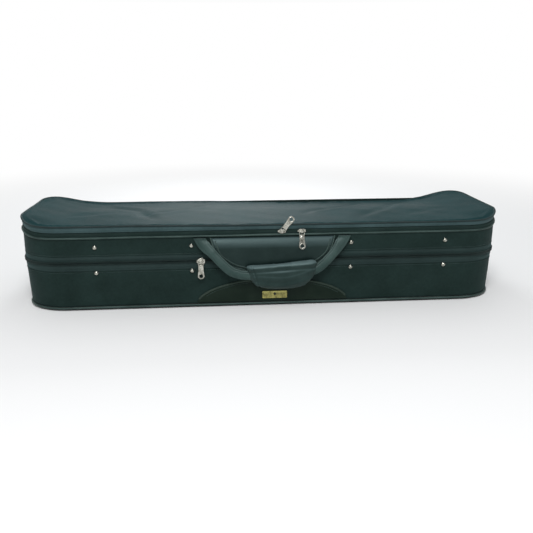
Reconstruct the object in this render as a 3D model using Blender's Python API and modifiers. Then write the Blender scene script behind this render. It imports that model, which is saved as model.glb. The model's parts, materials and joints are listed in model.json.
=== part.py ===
"""Oblong zip case for a violin: a foam-cored lower half and lid joined along the rear, with a zipped
music pocket on the lid, a leatherette handle, and a fitted bed inside.

Metres, +Z up. The origin is the middle of the base panel's underside; +X is along the case, and the
front, with its handle, faces -Y. Run with: blender --background --python part.py
"""
import math

import bmesh
import bpy
from mathutils import Matrix, Vector

# ---------------------------------------------------------------- driving dimensions
LENGTH = 0.776
WIDTH = 0.250
CORNER_X = 0.068          # corner's reach along the length
CORNER_Y = 0.060          # corner's reach along the width
CORNER_STEPS = 6
SPLIT_Z = 0.077           # middle of the main zip
END_LEAN = 0.004          # how far each end leans in at the base
END_RISE = 0.0095         # how far the lid's soft top edge stands up round the two ends
GAP = 0.0003              # between pieces that touch

COVER = 0.0012            # nylon skin
SHELL_OUT = 0.0015        # insets of the foam core's outer and inner faces
SHELL_IN = 0.0105
LINING_OUT = 0.0108
LINING_IN = 0.0123
PIPING_R = 0.0016
PIPING_INSET = -0.0004

BASE_TOP = 0.0020
BODY_RIM = 0.0755
LID_RIM = 0.0785
LID_TOP = 0.1163
LID_CEILING = 0.1100
LID_PANEL = (0.1166, 0.1176)
LID_PIPING_Z = 0.1170
LID_COVER_Z = (0.0903, 0.1150)
BODY_COVER_Z = (0.0058, 0.0640)

HINGE_HALF = 0.278        # half length of the rear fabric hinge
CHAIN_INSET = -0.0018     # the zip teeth stand this far out of the skin
CHAIN_GAP = 0.0007        # half the gap between closed rows of teeth

POCKET_ZIP_Z = 0.1216
POCKET_TOP = 0.1336
POCKET_FALL = 0.0130      # how far the pocket's panel drops to the lid along the rear
POCKET_FULLER = 0.0045    # it drops less by this much over the left half
POCKET_PANEL_T = 0.0025
POCKET_STOP = 0.352       # the pocket's walls end here on the rear corners
FALL_FROM, FALL_TO = 0.385, 0.275

LID_AXIS = (0.0, 0.127, SPLIT_Z)
POCKET_AXIS = (0.0, 0.126, 0.1185)
HANDLE_AXIS = (0.0, -0.1285, 0.1120)
FLAP_AXIS = (0.0, -0.1266, 0.1128)

FRONT_CENTRE = 0.008      # the handle and its patches sit a little right of the middle
RIVET_X = (-0.269, -0.120, 0.134, 0.288)
RIVET_BODY_Z = 0.0605
RIVET_LID_Z = 0.1015
RIVET_SHANK_R = 0.0008
RIVET_HOLE_R = 0.0011

MAIN_SLIDER_X = (-0.106, -0.058)
POCKET_SLIDER_X = (0.022, 0.0535)
PULL_TILT = 20.0          # degrees that the hanging pocket pull stands off the lid
PULL_LEAN = (0.615, 0.030, 0.788)   # direction of the pull that leans over the pocket's edge

COLOURS = {
    "nylon": ((0.012, 0.020, 0.022), 0.75, 0.0),
    "leatherette": ((0.030, 0.022, 0.019), 0.50, 0.0),
    "zip_tape": ((0.015, 0.018, 0.018), 0.85, 0.0),
    "foam": ((0.080, 0.080, 0.085), 0.90, 0.0),
    "lining": ((0.030, 0.032, 0.060), 0.95, 0.0),
    "nickel": ((0.60, 0.59, 0.56), 0.30, 1.0),
    "steel": ((0.50, 0.50, 0.50), 0.40, 1.0),
    "brass": ((0.62, 0.48, 0.22), 0.35, 1.0),
    "moulding": ((0.020, 0.020, 0.020), 0.45, 0.0),
}

PARTS = "violin_case"
TOOLS = "cutters"


# ---------------------------------------------------------------- scene, materials, placing

def clear_scene():
    for old in list(bpy.data.objects):
        bpy.data.objects.remove(old, do_unlink=True)


def collection(name):
    found = bpy.data.collections.get(name)
    if found is None:
        found = bpy.data.collections.new(name)
        bpy.context.scene.collection.children.link(found)
    return found


def material(name):
    found = bpy.data.materials.get(name)
    if found is None:
        colour, roughness, metallic = COLOURS[name]
        found = bpy.data.materials.new(name)
        found.use_nodes = True
        shader = found.node_tree.nodes["Principled BSDF"]
        shader.inputs["Base Color"].default_value = (*colour, 1.0)
        shader.inputs["Roughness"].default_value = roughness
        shader.inputs["Metallic"].default_value = metallic
    return found


def tool(obj):
    """Marks an object as a cutter or a joined shape, which isn't a part of its own."""
    for home in list(obj.users_collection):
        home.objects.unlink(obj)
    collection(TOOLS).objects.link(obj)
    obj.hide_render = True
    obj.display_type = "WIRE"
    return obj


def part(obj, finish):
    obj.data.materials.clear()
    obj.data.materials.append(material(finish))
    return obj


def mesh_object(name, mesh):
    obj = bpy.data.objects.new(name, mesh)
    collection(PARTS).objects.link(obj)
    return obj


def joint_empty(name, at, parent=None):
    """An empty on a joint's axis; the pieces that the joint moves are parented to it."""
    empty = bpy.data.objects.new(name, None)
    empty.empty_display_size = 0.01
    collection(PARTS).objects.link(empty)
    empty.location = Vector(at)
    bpy.context.view_layer.update()
    if parent is not None:
        hang(parent, empty)
    return empty


def hang(parent, *children):
    for child in children:
        child.parent = parent
        child.matrix_parent_inverse = parent.matrix_world.inverted()
    bpy.context.view_layer.update()


# ---------------------------------------------------------------- frames: local x, y, z to the world

TOP_VIEW = Matrix.Identity(4)
FRONT_VIEW = Matrix(((1, 0, 0, 0), (0, 0, -1, 0), (0, 1, 0, 0), (0, 0, 0, 1)))   # x, z, out of the front
END_VIEW = Matrix(((0, 0, 1, 0), (1, 0, 0, 0), (0, 1, 0, 0), (0, 0, 0, 1)))      # y, z, along the length


def frame_of(across, along, at):
    """A plate's frame: its width and length directions, and the point that its local origin goes to."""
    u = Vector(across).normalized()
    v = Vector(along).normalized()
    n = u.cross(v)
    columns = Matrix((u, v, n)).transposed().to_4x4()
    columns.translation = Vector(at)
    return columns


# ---------------------------------------------------------------- outlines

def arc(centre, radius, start, end, steps):
    """Points on an arc, in degrees, both ends included."""
    angles = [math.radians(start + (end - start) * i / steps) for i in range(steps + 1)]
    return [(centre[0] + radius * math.cos(a), centre[1] + radius * math.sin(a)) for a in angles]


def plan(inset):
    """The case's outline from above, moved in by inset: straight sides with elliptical corners."""
    half_x, half_y = LENGTH / 2 - inset, WIDTH / 2 - inset
    reach_x, reach_y = CORNER_X - inset, CORNER_Y - inset
    points = []
    for quarter in range(4):
        turn = math.pi / 2 * (quarter + 1)
        side_x = -1 if quarter in (0, 1) else 1
        side_y = 1 if quarter in (0, 3) else -1
        for step in range(CORNER_STEPS + 1):
            a = turn + math.pi / 2 * step / CORNER_STEPS
            x = side_x * (half_x - reach_x) + reach_x * math.cos(a)
            y = side_y * (half_y - reach_y) + reach_y * math.sin(a)
            points.append((x, y))
    return points


def rear_edge(inset, x):
    """The outline's y on the rear side at x."""
    half_x, half_y = LENGTH / 2 - inset, WIDTH / 2 - inset
    reach_x, reach_y = CORNER_X - inset, CORNER_Y - inset
    past = max(0.0, (abs(x) - (half_x - reach_x)) / reach_x)
    return half_y - reach_y + reach_y * math.sqrt(1.0 - past * past)


def front_run(inset, stop):
    """The outline from the rear at -stop, round both ends and the front, to the rear at +stop."""
    middle = [p for p in plan(inset) if p[1] <= 0 or abs(p[0]) > stop + 0.001]
    rear = rear_edge(inset, stop)
    return [(-stop, rear)] + middle + [(stop, rear)]


def smooth(t):
    t = min(1.0, max(0.0, t))
    return t * t * (3 - 2 * t)


def end_rise(x, y):
    """How far the lid's top edge stands up at x, y: round the ends, behind the front corners."""
    along = smooth((abs(x) - (LENGTH / 2 - CORNER_X)) / CORNER_X)
    across = smooth((y + WIDTH / 2) / CORNER_Y)
    return END_RISE * along * across


def pocket_fall(x, y):
    """How far the pocket's top has sunk at x, y: it is sewn down to the lid along the rear."""
    depth = POCKET_FALL - POCKET_FULLER * smooth((0.10 - x) / 0.26)
    along = smooth((FALL_FROM - abs(x)) / (FALL_FROM - FALL_TO))
    across = smooth((y + 0.03) / (WIDTH / 2 + 0.03))
    return depth * along * across


def pocket_height(x, y):
    return POCKET_TOP - pocket_fall(x, y) + end_rise(x, y)


# ---------------------------------------------------------------- shapes

def baked(obj, name, weld=0.00001):
    """A mesh object, in world coordinates, of what obj evaluates to; obj is removed."""
    bpy.context.view_layer.update()
    found = obj.evaluated_get(bpy.context.evaluated_depsgraph_get())
    mesh = bpy.data.meshes.new_from_object(found)
    mesh.transform(obj.matrix_world)
    bpy.data.objects.remove(obj, do_unlink=True)
    shape = bmesh.new()
    shape.from_mesh(mesh)
    bmesh.ops.remove_doubles(shape, verts=shape.verts, dist=weld)
    bmesh.ops.recalc_face_normals(shape, faces=shape.faces)
    shape.to_mesh(mesh)
    shape.free()
    mesh.name = name
    return mesh_object(name, mesh)


def plate(name, loops, low, high, frame=TOP_VIEW):
    """A flat shape between low and high along the frame's z; inner loops are holes."""
    curve = bpy.data.curves.new(name, "CURVE")
    curve.dimensions = "2D"
    curve.fill_mode = "BOTH"
    curve.extrude = (high - low) / 2
    for loop in loops:
        spline = curve.splines.new("POLY")
        spline.points.add(len(loop) - 1)
        for point, (x, y) in zip(spline.points, loop):
            point.co = (x, y, 0.0, 1.0)
        spline.use_cyclic_u = True
    obj = bpy.data.objects.new(name + "_curve", curve)
    bpy.context.scene.collection.objects.link(obj)
    obj.matrix_world = frame @ Matrix.Translation((0, 0, (low + high) / 2))
    return baked(obj, name)


def box(name, low, high):
    """A box from its lowest to its highest corner."""
    shape = bmesh.new()
    bmesh.ops.create_cube(shape, size=1.0)
    size = Vector(high) - Vector(low)
    middle = (Vector(high) + Vector(low)) / 2
    bmesh.ops.transform(shape, verts=shape.verts, matrix=Matrix.Diagonal(size).to_4x4())
    bmesh.ops.translate(shape, verts=shape.verts, vec=middle)
    mesh = bpy.data.meshes.new(name)
    shape.to_mesh(mesh)
    shape.free()
    return mesh_object(name, mesh)


def rod(name, radius, low, high, frame, sides=12):
    """A round bar between low and high along the frame's z."""
    shape = bmesh.new()
    bmesh.ops.create_cone(
        shape, cap_ends=True, segments=sides, radius1=radius, radius2=radius, depth=high - low)
    mesh = bpy.data.meshes.new(name)
    bmesh.ops.translate(shape, verts=shape.verts, vec=(0, 0, (low + high) / 2))
    shape.to_mesh(mesh)
    shape.free()
    mesh.transform(frame)
    return mesh_object(name, mesh)


def tube(name, path, radius, closed):
    """A cord of piping along a path of points."""
    curve = bpy.data.curves.new(name, "CURVE")
    curve.dimensions = "3D"
    curve.bevel_depth = radius
    curve.bevel_resolution = 1
    curve.use_fill_caps = True
    spline = curve.splines.new("POLY")
    spline.points.add(len(path) - 1)
    for point, place in zip(spline.points, path):
        point.co = (*place, 1.0)
    spline.use_cyclic_u = closed
    obj = bpy.data.objects.new(name + "_curve", curve)
    bpy.context.scene.collection.objects.link(obj)
    result = baked(obj, name)
    shade_round(result)
    return result


def band(name, outer, inner, low, high, stop=None):
    """A wall that follows the outline between two insets, all round or as far as the rear stops."""
    if stop is None:
        return plate(name, [plan(outer), plan(inner)], low, high)
    return plate(name, [front_run(outer, stop) + front_run(inner, stop)[::-1]], low, high)


def sheet(name, outline, cells, height, thickness, frame):
    """A curved sheet: a grid lifted by height(u, v), given a thickness and trimmed to the outline."""
    us = [p[0] for p in outline]
    vs = [p[1] for p in outline]
    margin = 0.004
    low = Vector((min(us) - margin, min(vs) - margin, 0))
    high = Vector((max(us) + margin, max(vs) + margin, 0))
    shape = bmesh.new()
    bmesh.ops.create_grid(shape, x_segments=cells[0], y_segments=cells[1], size=0.5)
    for vertex in shape.verts:
        u = low.x + (vertex.co.x + 0.5) * (high.x - low.x)
        v = low.y + (vertex.co.y + 0.5) * (high.y - low.y)
        vertex.co = (u, v, height(u, v))
    mesh = bpy.data.meshes.new(name)
    shape.to_mesh(mesh)
    shape.free()
    mesh.transform(frame)
    obj = mesh_object(name, mesh)
    solid = obj.modifiers.new("thickness", "SOLIDIFY")
    solid.thickness = thickness
    solid.offset = -1.0
    trim = tool(plate(name + "_trim", [outline], -0.2, 0.2, frame))
    cut(obj, trim, "INTERSECT")
    return obj


def cut(obj, cutter, how="DIFFERENCE"):
    boolean = obj.modifiers.new(cutter.name, "BOOLEAN")
    boolean.operation = how
    boolean.object = cutter
    boolean.solver = "EXACT"


def join(obj, *others):
    for other in others:
        cut(obj, tool(other), "UNION")
    return obj


def shade_round(obj, angle=40.0):
    obj.data.shade_smooth()
    obj.data.set_sharp_from_angle(angle=math.radians(angle))


def ease_edges(obj, width, segments=1):
    bevel = obj.modifiers.new("eased", "BEVEL")
    bevel.width = width
    bevel.segments = segments
    bevel.limit_method = "ANGLE"
    bevel.angle_limit = math.radians(50)


def lean_ends(*objects):
    """Leans the lower half's ends in towards the base; the faces that this twists are split."""
    share = END_LEAN / (LENGTH / 2)
    for obj in objects:
        shape = bmesh.new()
        shape.from_mesh(obj.data)
        for vertex in shape.verts:
            below = (SPLIT_Z - vertex.co.z) / SPLIT_Z
            vertex.co.x *= 1.0 - share * below
        bmesh.ops.triangulate(shape, faces=shape.faces)
        shape.to_mesh(obj.data)
        shape.free()


def lift_ends(obj, foot=0.0, top=0.001):
    """Raises a wall of the lid round its ends: not at all at its foot, fully from its top upwards."""
    for vertex in obj.data.vertices:
        share = min(1.0, max(0.0, (vertex.co.z - foot) / (top - foot)))
        vertex.co.z += share * end_rise(vertex.co.x, vertex.co.y)


def turned(name, profile, frame, steps=12):
    """A solid of revolution about the frame's z from (radius, z) points, top to bottom."""
    mesh = bpy.data.meshes.new(name)
    points = [(r, 0.0, z) for r, z in profile]
    mesh.from_pydata(points, [(i, i + 1) for i in range(len(points) - 1)], [])
    obj = mesh_object(name + "_profile", mesh)
    obj.matrix_world = frame
    screw = obj.modifiers.new("turn", "SCREW")
    screw.steps = steps
    screw.render_steps = steps
    screw.use_merge_vertices = True
    screw.merge_threshold = 0.00001
    result = baked(obj, name)
    shade_round(result)
    return result


# ---------------------------------------------------------------- lower half

def make_base():
    panel = part(plate("base_panel", [plan(0.0025)], 0.0, BASE_TOP), "nylon")
    height = BASE_TOP + GAP + PIPING_R
    piping = tube("base_piping", [(x, y, height) for x, y in plan(PIPING_INSET)], PIPING_R, True)
    part(piping, "leatherette")
    lean_ends(panel, piping)
    return [panel, piping]


def make_body_walls():
    floor = BASE_TOP + GAP
    shell = part(plate("body_shell", [plan(SHELL_OUT)], floor, BODY_RIM), "foam")
    hollow = tool(plate("body_hollow", [plan(SHELL_IN)], floor + 0.006, BODY_RIM + 0.02))
    lean_ends(shell, hollow)
    cut(shell, hollow)
    cover = part(band("body_cover", 0.0, COVER, *BODY_COVER_Z), "nylon")
    lining = part(plate("body_lining", [plan(LINING_OUT)], 0.0086, BODY_RIM - 0.0005), "lining")
    inside = tool(plate("body_lining_hollow", [plan(LINING_IN)], 0.0101, BODY_RIM + 0.02))
    lean_ends(cover, lining, inside)
    cut(lining, inside)
    return [shell, cover, lining]


VIOLIN_HALF = (
    # distance from the lower end of the violin, half width of its recess
    (0.000, 0.030), (0.006, 0.058), (0.022, 0.086), (0.050, 0.101), (0.078, 0.105), (0.106, 0.101),
    (0.130, 0.088), (0.146, 0.066), (0.165, 0.0600), (0.195, 0.0605), (0.215, 0.066), (0.232, 0.080),
    (0.262, 0.087), (0.300, 0.082), (0.330, 0.066), (0.350, 0.042), (0.360, 0.024),
)
VIOLIN_END = 0.366        # x of the recess's lower end
NECK_HALF = (
    # x, half width of the channel for the neck, its cradle's bay and the scroll
    (0.002, 0.021), (-0.171, 0.021), (-0.171, 0.041), (-0.223, 0.041), (-0.223, 0.024),
    (-0.270, 0.024),
)
BED_Z = (0.0104, 0.0480)
BED_FLOOR = 0.018
BED_INSET = 0.0133
BOX_EDGE = -0.258         # the bed ends here and the accessory box begins


def make_bed():
    """A flat pad on the floor, and on it a foam block cut right through to the violin's outline."""
    pad = part(plate("bed_floor", [plan(BED_INSET)], BED_Z[0], BED_FLOOR), "lining")
    block = part(plate("violin_bed", [plan(BED_INSET)], BED_FLOOR + GAP, BED_Z[1]), "lining")
    keep = tool(box("bed_keep", (BOX_EDGE, -0.2, 0.0), (0.5, 0.2, 0.1)))
    side = [(VIOLIN_END - d, w) for d, w in VIOLIN_HALF]
    side += [(x, w) for x, w in NECK_HALF]
    outline = side + [(x, -y) for x, y in side[::-1]]
    recess = tool(plate("violin_recess", [outline], BED_Z[0], BED_Z[1] + 0.02))
    lean_ends(pad, block, recess)
    cut(pad, keep, "INTERSECT")
    cut(block, keep, "INTERSECT")
    cut(block, recess)
    return [pad, block]


CRADLE_X = (-0.217, -0.177)
CRADLE_TOP = 0.062


def make_cradle():
    lip, throat = 0.036, 0.014
    bottom, seat = BED_FLOOR + GAP, 0.040
    outline = [(-lip, bottom), (lip, bottom), (lip, CRADLE_TOP), (throat, CRADLE_TOP)]
    outline += arc((0, seat + throat), throat, 0, -180, 6)
    outline += [(-throat, CRADLE_TOP), (-lip, CRADLE_TOP)]
    return [part(plate("neck_cradle", [outline], *CRADLE_X, END_VIEW), "lining")]


BOX_TOP = 0.066
BOX_INSET = 0.0175
BOX_X = -0.262
ACCESSORY_AXIS = (-0.31, 0.1078, 0.0675)    # just behind the rear edge of the box's lid


def make_accessory_box():
    tray = part(plate("accessory_box", [plan(BOX_INSET)], BED_Z[0], BOX_TOP), "lining")
    keep = tool(box("box_keep", (-0.5, -0.2, 0.0), (BOX_X, 0.2, 0.1)))
    inside = tool(plate("box_hollow", [plan(BOX_INSET + 0.003)], BED_Z[0] + 0.003, 0.1))
    inside_keep = tool(box("box_hollow_keep", (-0.5, -0.2, 0.0), (BOX_X - 0.003, 0.2, 0.2)))
    lean_ends(tray, inside)
    cut(inside, inside_keep, "INTERSECT")
    cut(tray, keep, "INTERSECT")
    cut(tray, inside)
    return [tray]


LID_T = 0.0025
TAB_X = (-0.299, -0.283)
TAB_Y = (-0.1115, -0.090)


def make_accessory_lid():
    """A flat flap over the box, hinged along its rear edge, with a pull tab at the front."""
    low = BOX_TOP + GAP
    lid = part(plate("accessory_lid", [plan(BOX_INSET)], low, low + LID_T), "lining")
    keep = tool(box("accessory_lid_keep", (-0.5, -0.2, 0.0), (BOX_X, 0.2, 0.1)))
    tab = box("accessory_tab", (TAB_X[0], TAB_Y[0], low + 0.0006), (TAB_X[1], TAB_Y[1], low + 0.0017))
    cut(lid, keep, "INTERSECT")
    join(lid, tab)
    hang(joint_empty("accessory_lid_axis", ACCESSORY_AXIS), lid)
    return [lid]


def make_neck_strap():
    low = CRADLE_TOP + 0.0005
    strap = part(box("neck_strap", (-0.209, -0.0355, low), (-0.185, 0.0345, low + 0.0015)), "zip_tape")
    hang(joint_empty("neck_strap_axis", (-0.197, 0.036, low + 0.0007)), strap)
    return [strap]


def make_zip(name, tape_z, teeth_z, tape_inset, teeth_inset, stop, rises=False):
    """Half a zip: its tape along the outline and its row of teeth standing out of it."""
    tape = band(name, tape_inset, tape_inset + COVER, *tape_z, stop)
    teeth = band(name + "_teeth", teeth_inset, tape_inset + COVER / 2, *teeth_z, stop + 0.001)
    if rises:
        lift_ends(tape)
        lift_ends(teeth)
    join(tape, teeth)
    return part(tape, "zip_tape")


def make_main_zip():
    stop = HINGE_HALF + 0.0015
    teeth = 0.0028
    low_end, high_start = SPLIT_Z - CHAIN_GAP, SPLIT_Z + CHAIN_GAP
    lower = make_zip("main_zip_lower", (0.0643, low_end - GAP), (low_end - teeth, low_end),
                     0.0, CHAIN_INSET, stop)
    upper = make_zip("main_zip_upper", (high_start + GAP, 0.0900), (high_start, high_start + teeth),
                     0.0, CHAIN_INSET, stop)
    return [lower, upper]


def make_hinge_tapes():
    inner, outer = WIDTH / 2 - COVER, WIDTH / 2 + 0.0004
    lower = box("hinge_tape_lower", (-HINGE_HALF, inner, 0.0643), (HINGE_HALF, outer, SPLIT_Z - CHAIN_GAP))
    upper = box("hinge_tape_upper", (-HINGE_HALF, inner, SPLIT_Z + CHAIN_GAP), (HINGE_HALF, outer, 0.0900))
    return [part(lower, "nylon"), part(upper, "nylon")]


PATCH_OUT = (0.0003, 0.0025)    # how far the patch's two faces stand out of the front
BADGE_OUT = (0.0028, 0.0038)


def make_front_trim():
    """The arched leatherette patch low on the front, and its small plate."""
    front = WIDTH / 2
    left = [(-0.122, -0.004), (-0.113, 0.007), (-0.094, 0.0175), (-0.0665, 0.0260), (-0.043, 0.0300)]
    foot = 0.012
    outline = [(FRONT_CENTRE + x, foot + z) for x, z in left]
    outline += [(FRONT_CENTRE, foot + 0.032)]
    outline += [(FRONT_CENTRE - x, foot + z) for x, z in left[::-1]]
    patch = plate("lower_patch", [outline], front + PATCH_OUT[0], front + PATCH_OUT[1], FRONT_VIEW)
    half_x, half_z, corner = 0.020, 0.006, 0.0015
    middle = (FRONT_CENTRE + 0.003, 0.0187)
    badge_outline = []
    for quarter, (sx, sz) in enumerate(((1, 1), (-1, 1), (-1, -1), (1, -1))):
        centre = (middle[0] + sx * (half_x - corner), middle[1] + sz * (half_z - corner))
        badge_outline += arc(centre, corner, 90 * quarter, 90 * quarter + 90, 2)
    badge = plate("badge", [badge_outline], front + BADGE_OUT[0], front + BADGE_OUT[1], FRONT_VIEW)
    return [part(patch, "leatherette"), part(badge, "brass")]


# ---------------------------------------------------------------- rivets, catches and stays

TAIL_Y = 0.0123 + GAP + 0.0012 + GAP     # depth of a rivet's tail face inside the front
STRIP_HALF = 0.007


def make_rivet(name, x, z):
    """A domed rivet through the front wall; local z points out of the front."""
    frame = FRONT_VIEW @ Matrix.Translation((x, z, WIDTH / 2))
    top = GAP
    profile = [(0.0, top + 0.0016), (0.0018, top + 0.0014), (0.0032, top + 0.0007), (0.0037, top),
               (RIVET_SHANK_R, top), (RIVET_SHANK_R, -TAIL_Y), (0.0030, -TAIL_Y),
               (0.0026, -TAIL_Y - 0.0010), (0.0, -TAIL_Y - 0.0012)]
    return part(turned(name, profile, frame), "nickel")


def rivet_hole(name, x, z):
    frame = FRONT_VIEW @ Matrix.Translation((x, z, WIDTH / 2))
    return tool(rod(name, RIVET_HOLE_R, -0.020, 0.004, frame, 12))


def make_strip(name, x, z_side):
    """A catch plate on the inside of the front wall: the body's stands up behind the lid's."""
    near = -(WIDTH / 2 - LINING_IN - GAP)
    thick = 0.0012
    if z_side == "body":
        step = 0.0028
        line = [(near, 0.0505), (near, 0.0740), (near + step, 0.0790), (near + step, 0.0950)]
        back = [(y + thick, z) for y, z in line]
        outline = line + back[::-1]
    else:
        outline = [(near, 0.0805), (near, 0.1070), (near + thick, 0.1070), (near + thick, 0.0805)]
    return part(plate(name, [outline], x - STRIP_HALF, x + STRIP_HALF, END_VIEW), "steel")


def make_fixings(shells):
    """Rivets with their catch plates, and the holes they need in the walls that they pass."""
    body, lid = [], []
    for number, x in enumerate(RIVET_X, start=1):
        for side, z, made in (("body", RIVET_BODY_Z, body), ("lid", RIVET_LID_Z, lid)):
            hole = rivet_hole(f"{side}_rivet_hole_{number}", x, z)
            kind = "catch_tongue" if side == "body" else "catch_keeper"
            strip = make_strip(f"{kind}_{number}", x, side)
            for wall in shells[side] + [strip]:
                cut(wall, hole)
            made.append(make_rivet(f"{side}_rivet_{number}", x, z))
            made.append(strip)
    return body, lid


def make_stays():
    """Ribbons that stop the lid: each is folded inwards at the end walls while the lid is shut."""
    made = []
    wall = LENGTH / 2 - LINING_IN - 0.0012
    thick, half_width = 0.0008, 0.008
    for name, side in (("lid_stay_left", -1), ("lid_stay_right", 1)):
        line = [(wall - 0.0004, 0.0700), (wall - 0.0110, 0.0782), (wall, 0.0900)]
        back = [(x - thick, z) for x, z in line]
        outline = [(side * x, z) for x, z in line + back[::-1]]
        made.append(part(plate(name, [outline], -half_width, half_width, FRONT_VIEW), "zip_tape"))
    return made


# ---------------------------------------------------------------- lid

def make_lid_walls():
    shell = part(plate("lid_shell", [plan(SHELL_OUT)], LID_RIM, LID_TOP), "foam")
    cut(shell, tool(plate("lid_hollow", [plan(SHELL_IN)], LID_RIM - 0.02, LID_CEILING)))
    cover = part(band("lid_cover", 0.0, COVER, *LID_COVER_Z), "nylon")
    lift_ends(cover, *LID_COVER_Z)
    lining = part(plate("lid_lining", [plan(LINING_OUT)], LID_RIM + 0.001, LID_CEILING - GAP), "lining")
    cut(lining, tool(plate("lid_lining_hollow", [plan(LINING_IN)], LID_RIM - 0.02, LID_CEILING - 0.0018)))
    panel = part(plate("lid_top_panel", [plan(SHELL_OUT)], *LID_PANEL), "nylon")
    path = [(x, y, LID_PIPING_Z + end_rise(x, y)) for x, y in plan(PIPING_INSET)]
    piping = part(tube("lid_piping", path, PIPING_R, True), "leatherette")
    return [shell, cover, lining, panel, piping]


BOW_Y = (-0.040, 0.040)
CEILING = LID_CEILING - 0.0018 - GAP


def make_bow_holders():
    """Two fabric loops for the bows' tips, and two turn buttons for their frogs, under the lid."""
    loops, spinners = [], []
    for number, y in enumerate(BOW_Y, start=1):
        half, drop, wall = 0.020, 0.013, 0.0015
        outer = [(y - half, CEILING), (y - half, CEILING - drop), (y + half, CEILING - drop),
                 (y + half, CEILING)]
        inner = [(y - half + wall, CEILING), (y - half + wall, CEILING - drop + wall),
                 (y + half - wall, CEILING - drop + wall), (y + half - wall, CEILING)]
        loop = plate(f"bow_tip_loop_{number}", [outer[:3] + [outer[3]] + inner[::-1]], -0.262, -0.242, END_VIEW)
        loops.append(part(loop, "lining"))
        spinners.append(make_spinner(f"bow_spinner_{number}", 0.262, y))
    return loops, spinners


def make_spinner(name, x, y):
    top = CEILING
    frame = Matrix.Translation((x, y, 0))
    button = turned(name, [(0.0, top), (0.0040, top), (0.0040, top - 0.0075), (0.0060, top - 0.0080),
                           (0.0060, top - 0.0105), (0.0, top - 0.0110)], frame)
    blade = arc((x + 0.012, y), 0.0045, -90, 90, 4) + arc((x - 0.012, y), 0.0045, 90, 270, 4)
    join(button, plate(name + "_blade", [blade], top - 0.0103, top - 0.0083))
    part(button, "moulding")
    hang(joint_empty(name + "_axis", (x, y, top)), button)
    return button


# ---------------------------------------------------------------- music pocket

def settle(obj, low):
    """Presses a pocket wall that starts at low down to the pocket's sunken rear corners."""
    full = POCKET_TOP - 0.0030 - low
    for vertex in obj.data.vertices:
        left = full - pocket_fall(vertex.co.x, vertex.co.y)
        vertex.co.z = low + (vertex.co.z - low) * max(left, 0.0) / full


def make_pocket():
    base = POCKET_ZIP_Z + CHAIN_GAP
    zip_top = 0.1255
    tape = band("pocket_zip_upper", SHELL_OUT, SHELL_OUT + COVER, base + GAP, zip_top, POCKET_STOP)
    teeth = band("pocket_zip_upper_teeth", 0.0002, SHELL_OUT + COVER / 2, base, base + 0.0018,
                 POCKET_STOP + 0.001)
    gusset = band("pocket_gusset", 0.0, 0.0014, zip_top + GAP, POCKET_TOP - 0.0030, POCKET_STOP)
    for wall in (tape, teeth, gusset):
        settle(wall, base)
        lift_ends(wall)
    join(tape, teeth)
    part(tape, "zip_tape")
    part(gusset, "nylon")
    drop = 0.0012
    path = [(x, y, pocket_height(x, y) - drop) for x, y in front_run(PIPING_INSET, POCKET_STOP)]
    piping = part(tube("pocket_piping", path, 0.0015, False), "leatherette")
    panel = sheet("pocket_panel", plan(0.0033), (26, 9), pocket_height, POCKET_PANEL_T, TOP_VIEW)
    part(panel, "nylon")
    return [panel, gusset, piping, tape]


def make_pocket_zip_lower():
    top = POCKET_ZIP_Z - CHAIN_GAP
    return make_zip("pocket_zip_lower", (LID_PANEL[1] + GAP, top - GAP), (top - 0.0017, top),
                    SHELL_OUT, 0.0002, POCKET_STOP, rises=True)


# ---------------------------------------------------------------- sliders and pulls

WING_T = 0.0018
ARCH_RISE = 0.0033        # height of the slider's bridge over its wing
ARCH_HALF = 0.0014
PULL_AXIS = 0.0013        # the pull's bar turns this far above the wing
PULL_T = 0.0012
PULL_LENGTH = 0.029


def make_slider(name, x, wing, z_mid, back, zip_z, pull_lies=False):
    """A zip slider: a wing over both rows, a post between them, and a bridge that holds the pull.

    wing is the slider's lowest and highest z, and back is how far out of the front its back lies.
    The bridge stands across the rows for a pull that hangs, and along them for one that lies.
    """
    front = WIDTH / 2 + back
    face = front + WING_T
    half = 0.0065
    nose = 0.0020
    outline = [(x - half, wing[0] + nose), (x - half + nose, wing[0]), (x + half - nose, wing[0]),
               (x + half, wing[0] + nose), (x + half, wing[1] - nose), (x + half - nose, wing[1]),
               (x - half + nose, wing[1]), (x - half, wing[1] - nose)]
    body = plate(name, [outline], front, face, FRONT_VIEW)
    post = box(name + "_post", (x - 0.004, -front - 0.0005, zip_z - 0.0004),
               (x + 0.004, -front + 0.0014, zip_z + 0.0004))
    foot, leg, roof = face - 0.0004, 0.0009, face + ARCH_RISE
    inner = 0.0026
    outer = inner + leg
    arch = [(foot, -outer), (roof, -outer), (roof, outer), (foot, outer),
            (foot, inner), (roof - leg, inner), (roof - leg, -inner), (foot, -inner)]
    if pull_lies:
        flat = [(x + side, -out) for out, side in arch]
        bridge = plate(name + "_bridge", [flat], z_mid - ARCH_HALF, z_mid + ARCH_HALF, TOP_VIEW)
    else:
        flat = [(-out, z_mid + side) for out, side in arch]
        bridge = plate(name + "_bridge", [flat], x - ARCH_HALF, x + ARCH_HALF, END_VIEW)
    return part(join(body, post, bridge), "nickel"), Vector((x, -(face + PULL_AXIS), z_mid))


def make_pull(name, at, across, along):
    """A flat pull with a window round the slider's bridge and a hole in its round end."""
    half_top, half_end, bar = 0.0047, 0.00525, 0.0006
    hub = PULL_LENGTH - half_end
    outline = [(-half_top, -bar), (half_top, -bar)]
    outline += arc((0, hub), half_end, 0, 180, 10)
    window = [(-0.0037, bar), (0.0037, bar), (0.0037, 0.0056), (-0.0037, 0.0056)]
    hole = arc((0, hub), 0.0030, 0, 324, 9)
    return part(plate(name, [outline, window, hole], -PULL_T / 2, PULL_T / 2, frame_of(across, along, at)),
                "nickel")


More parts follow.
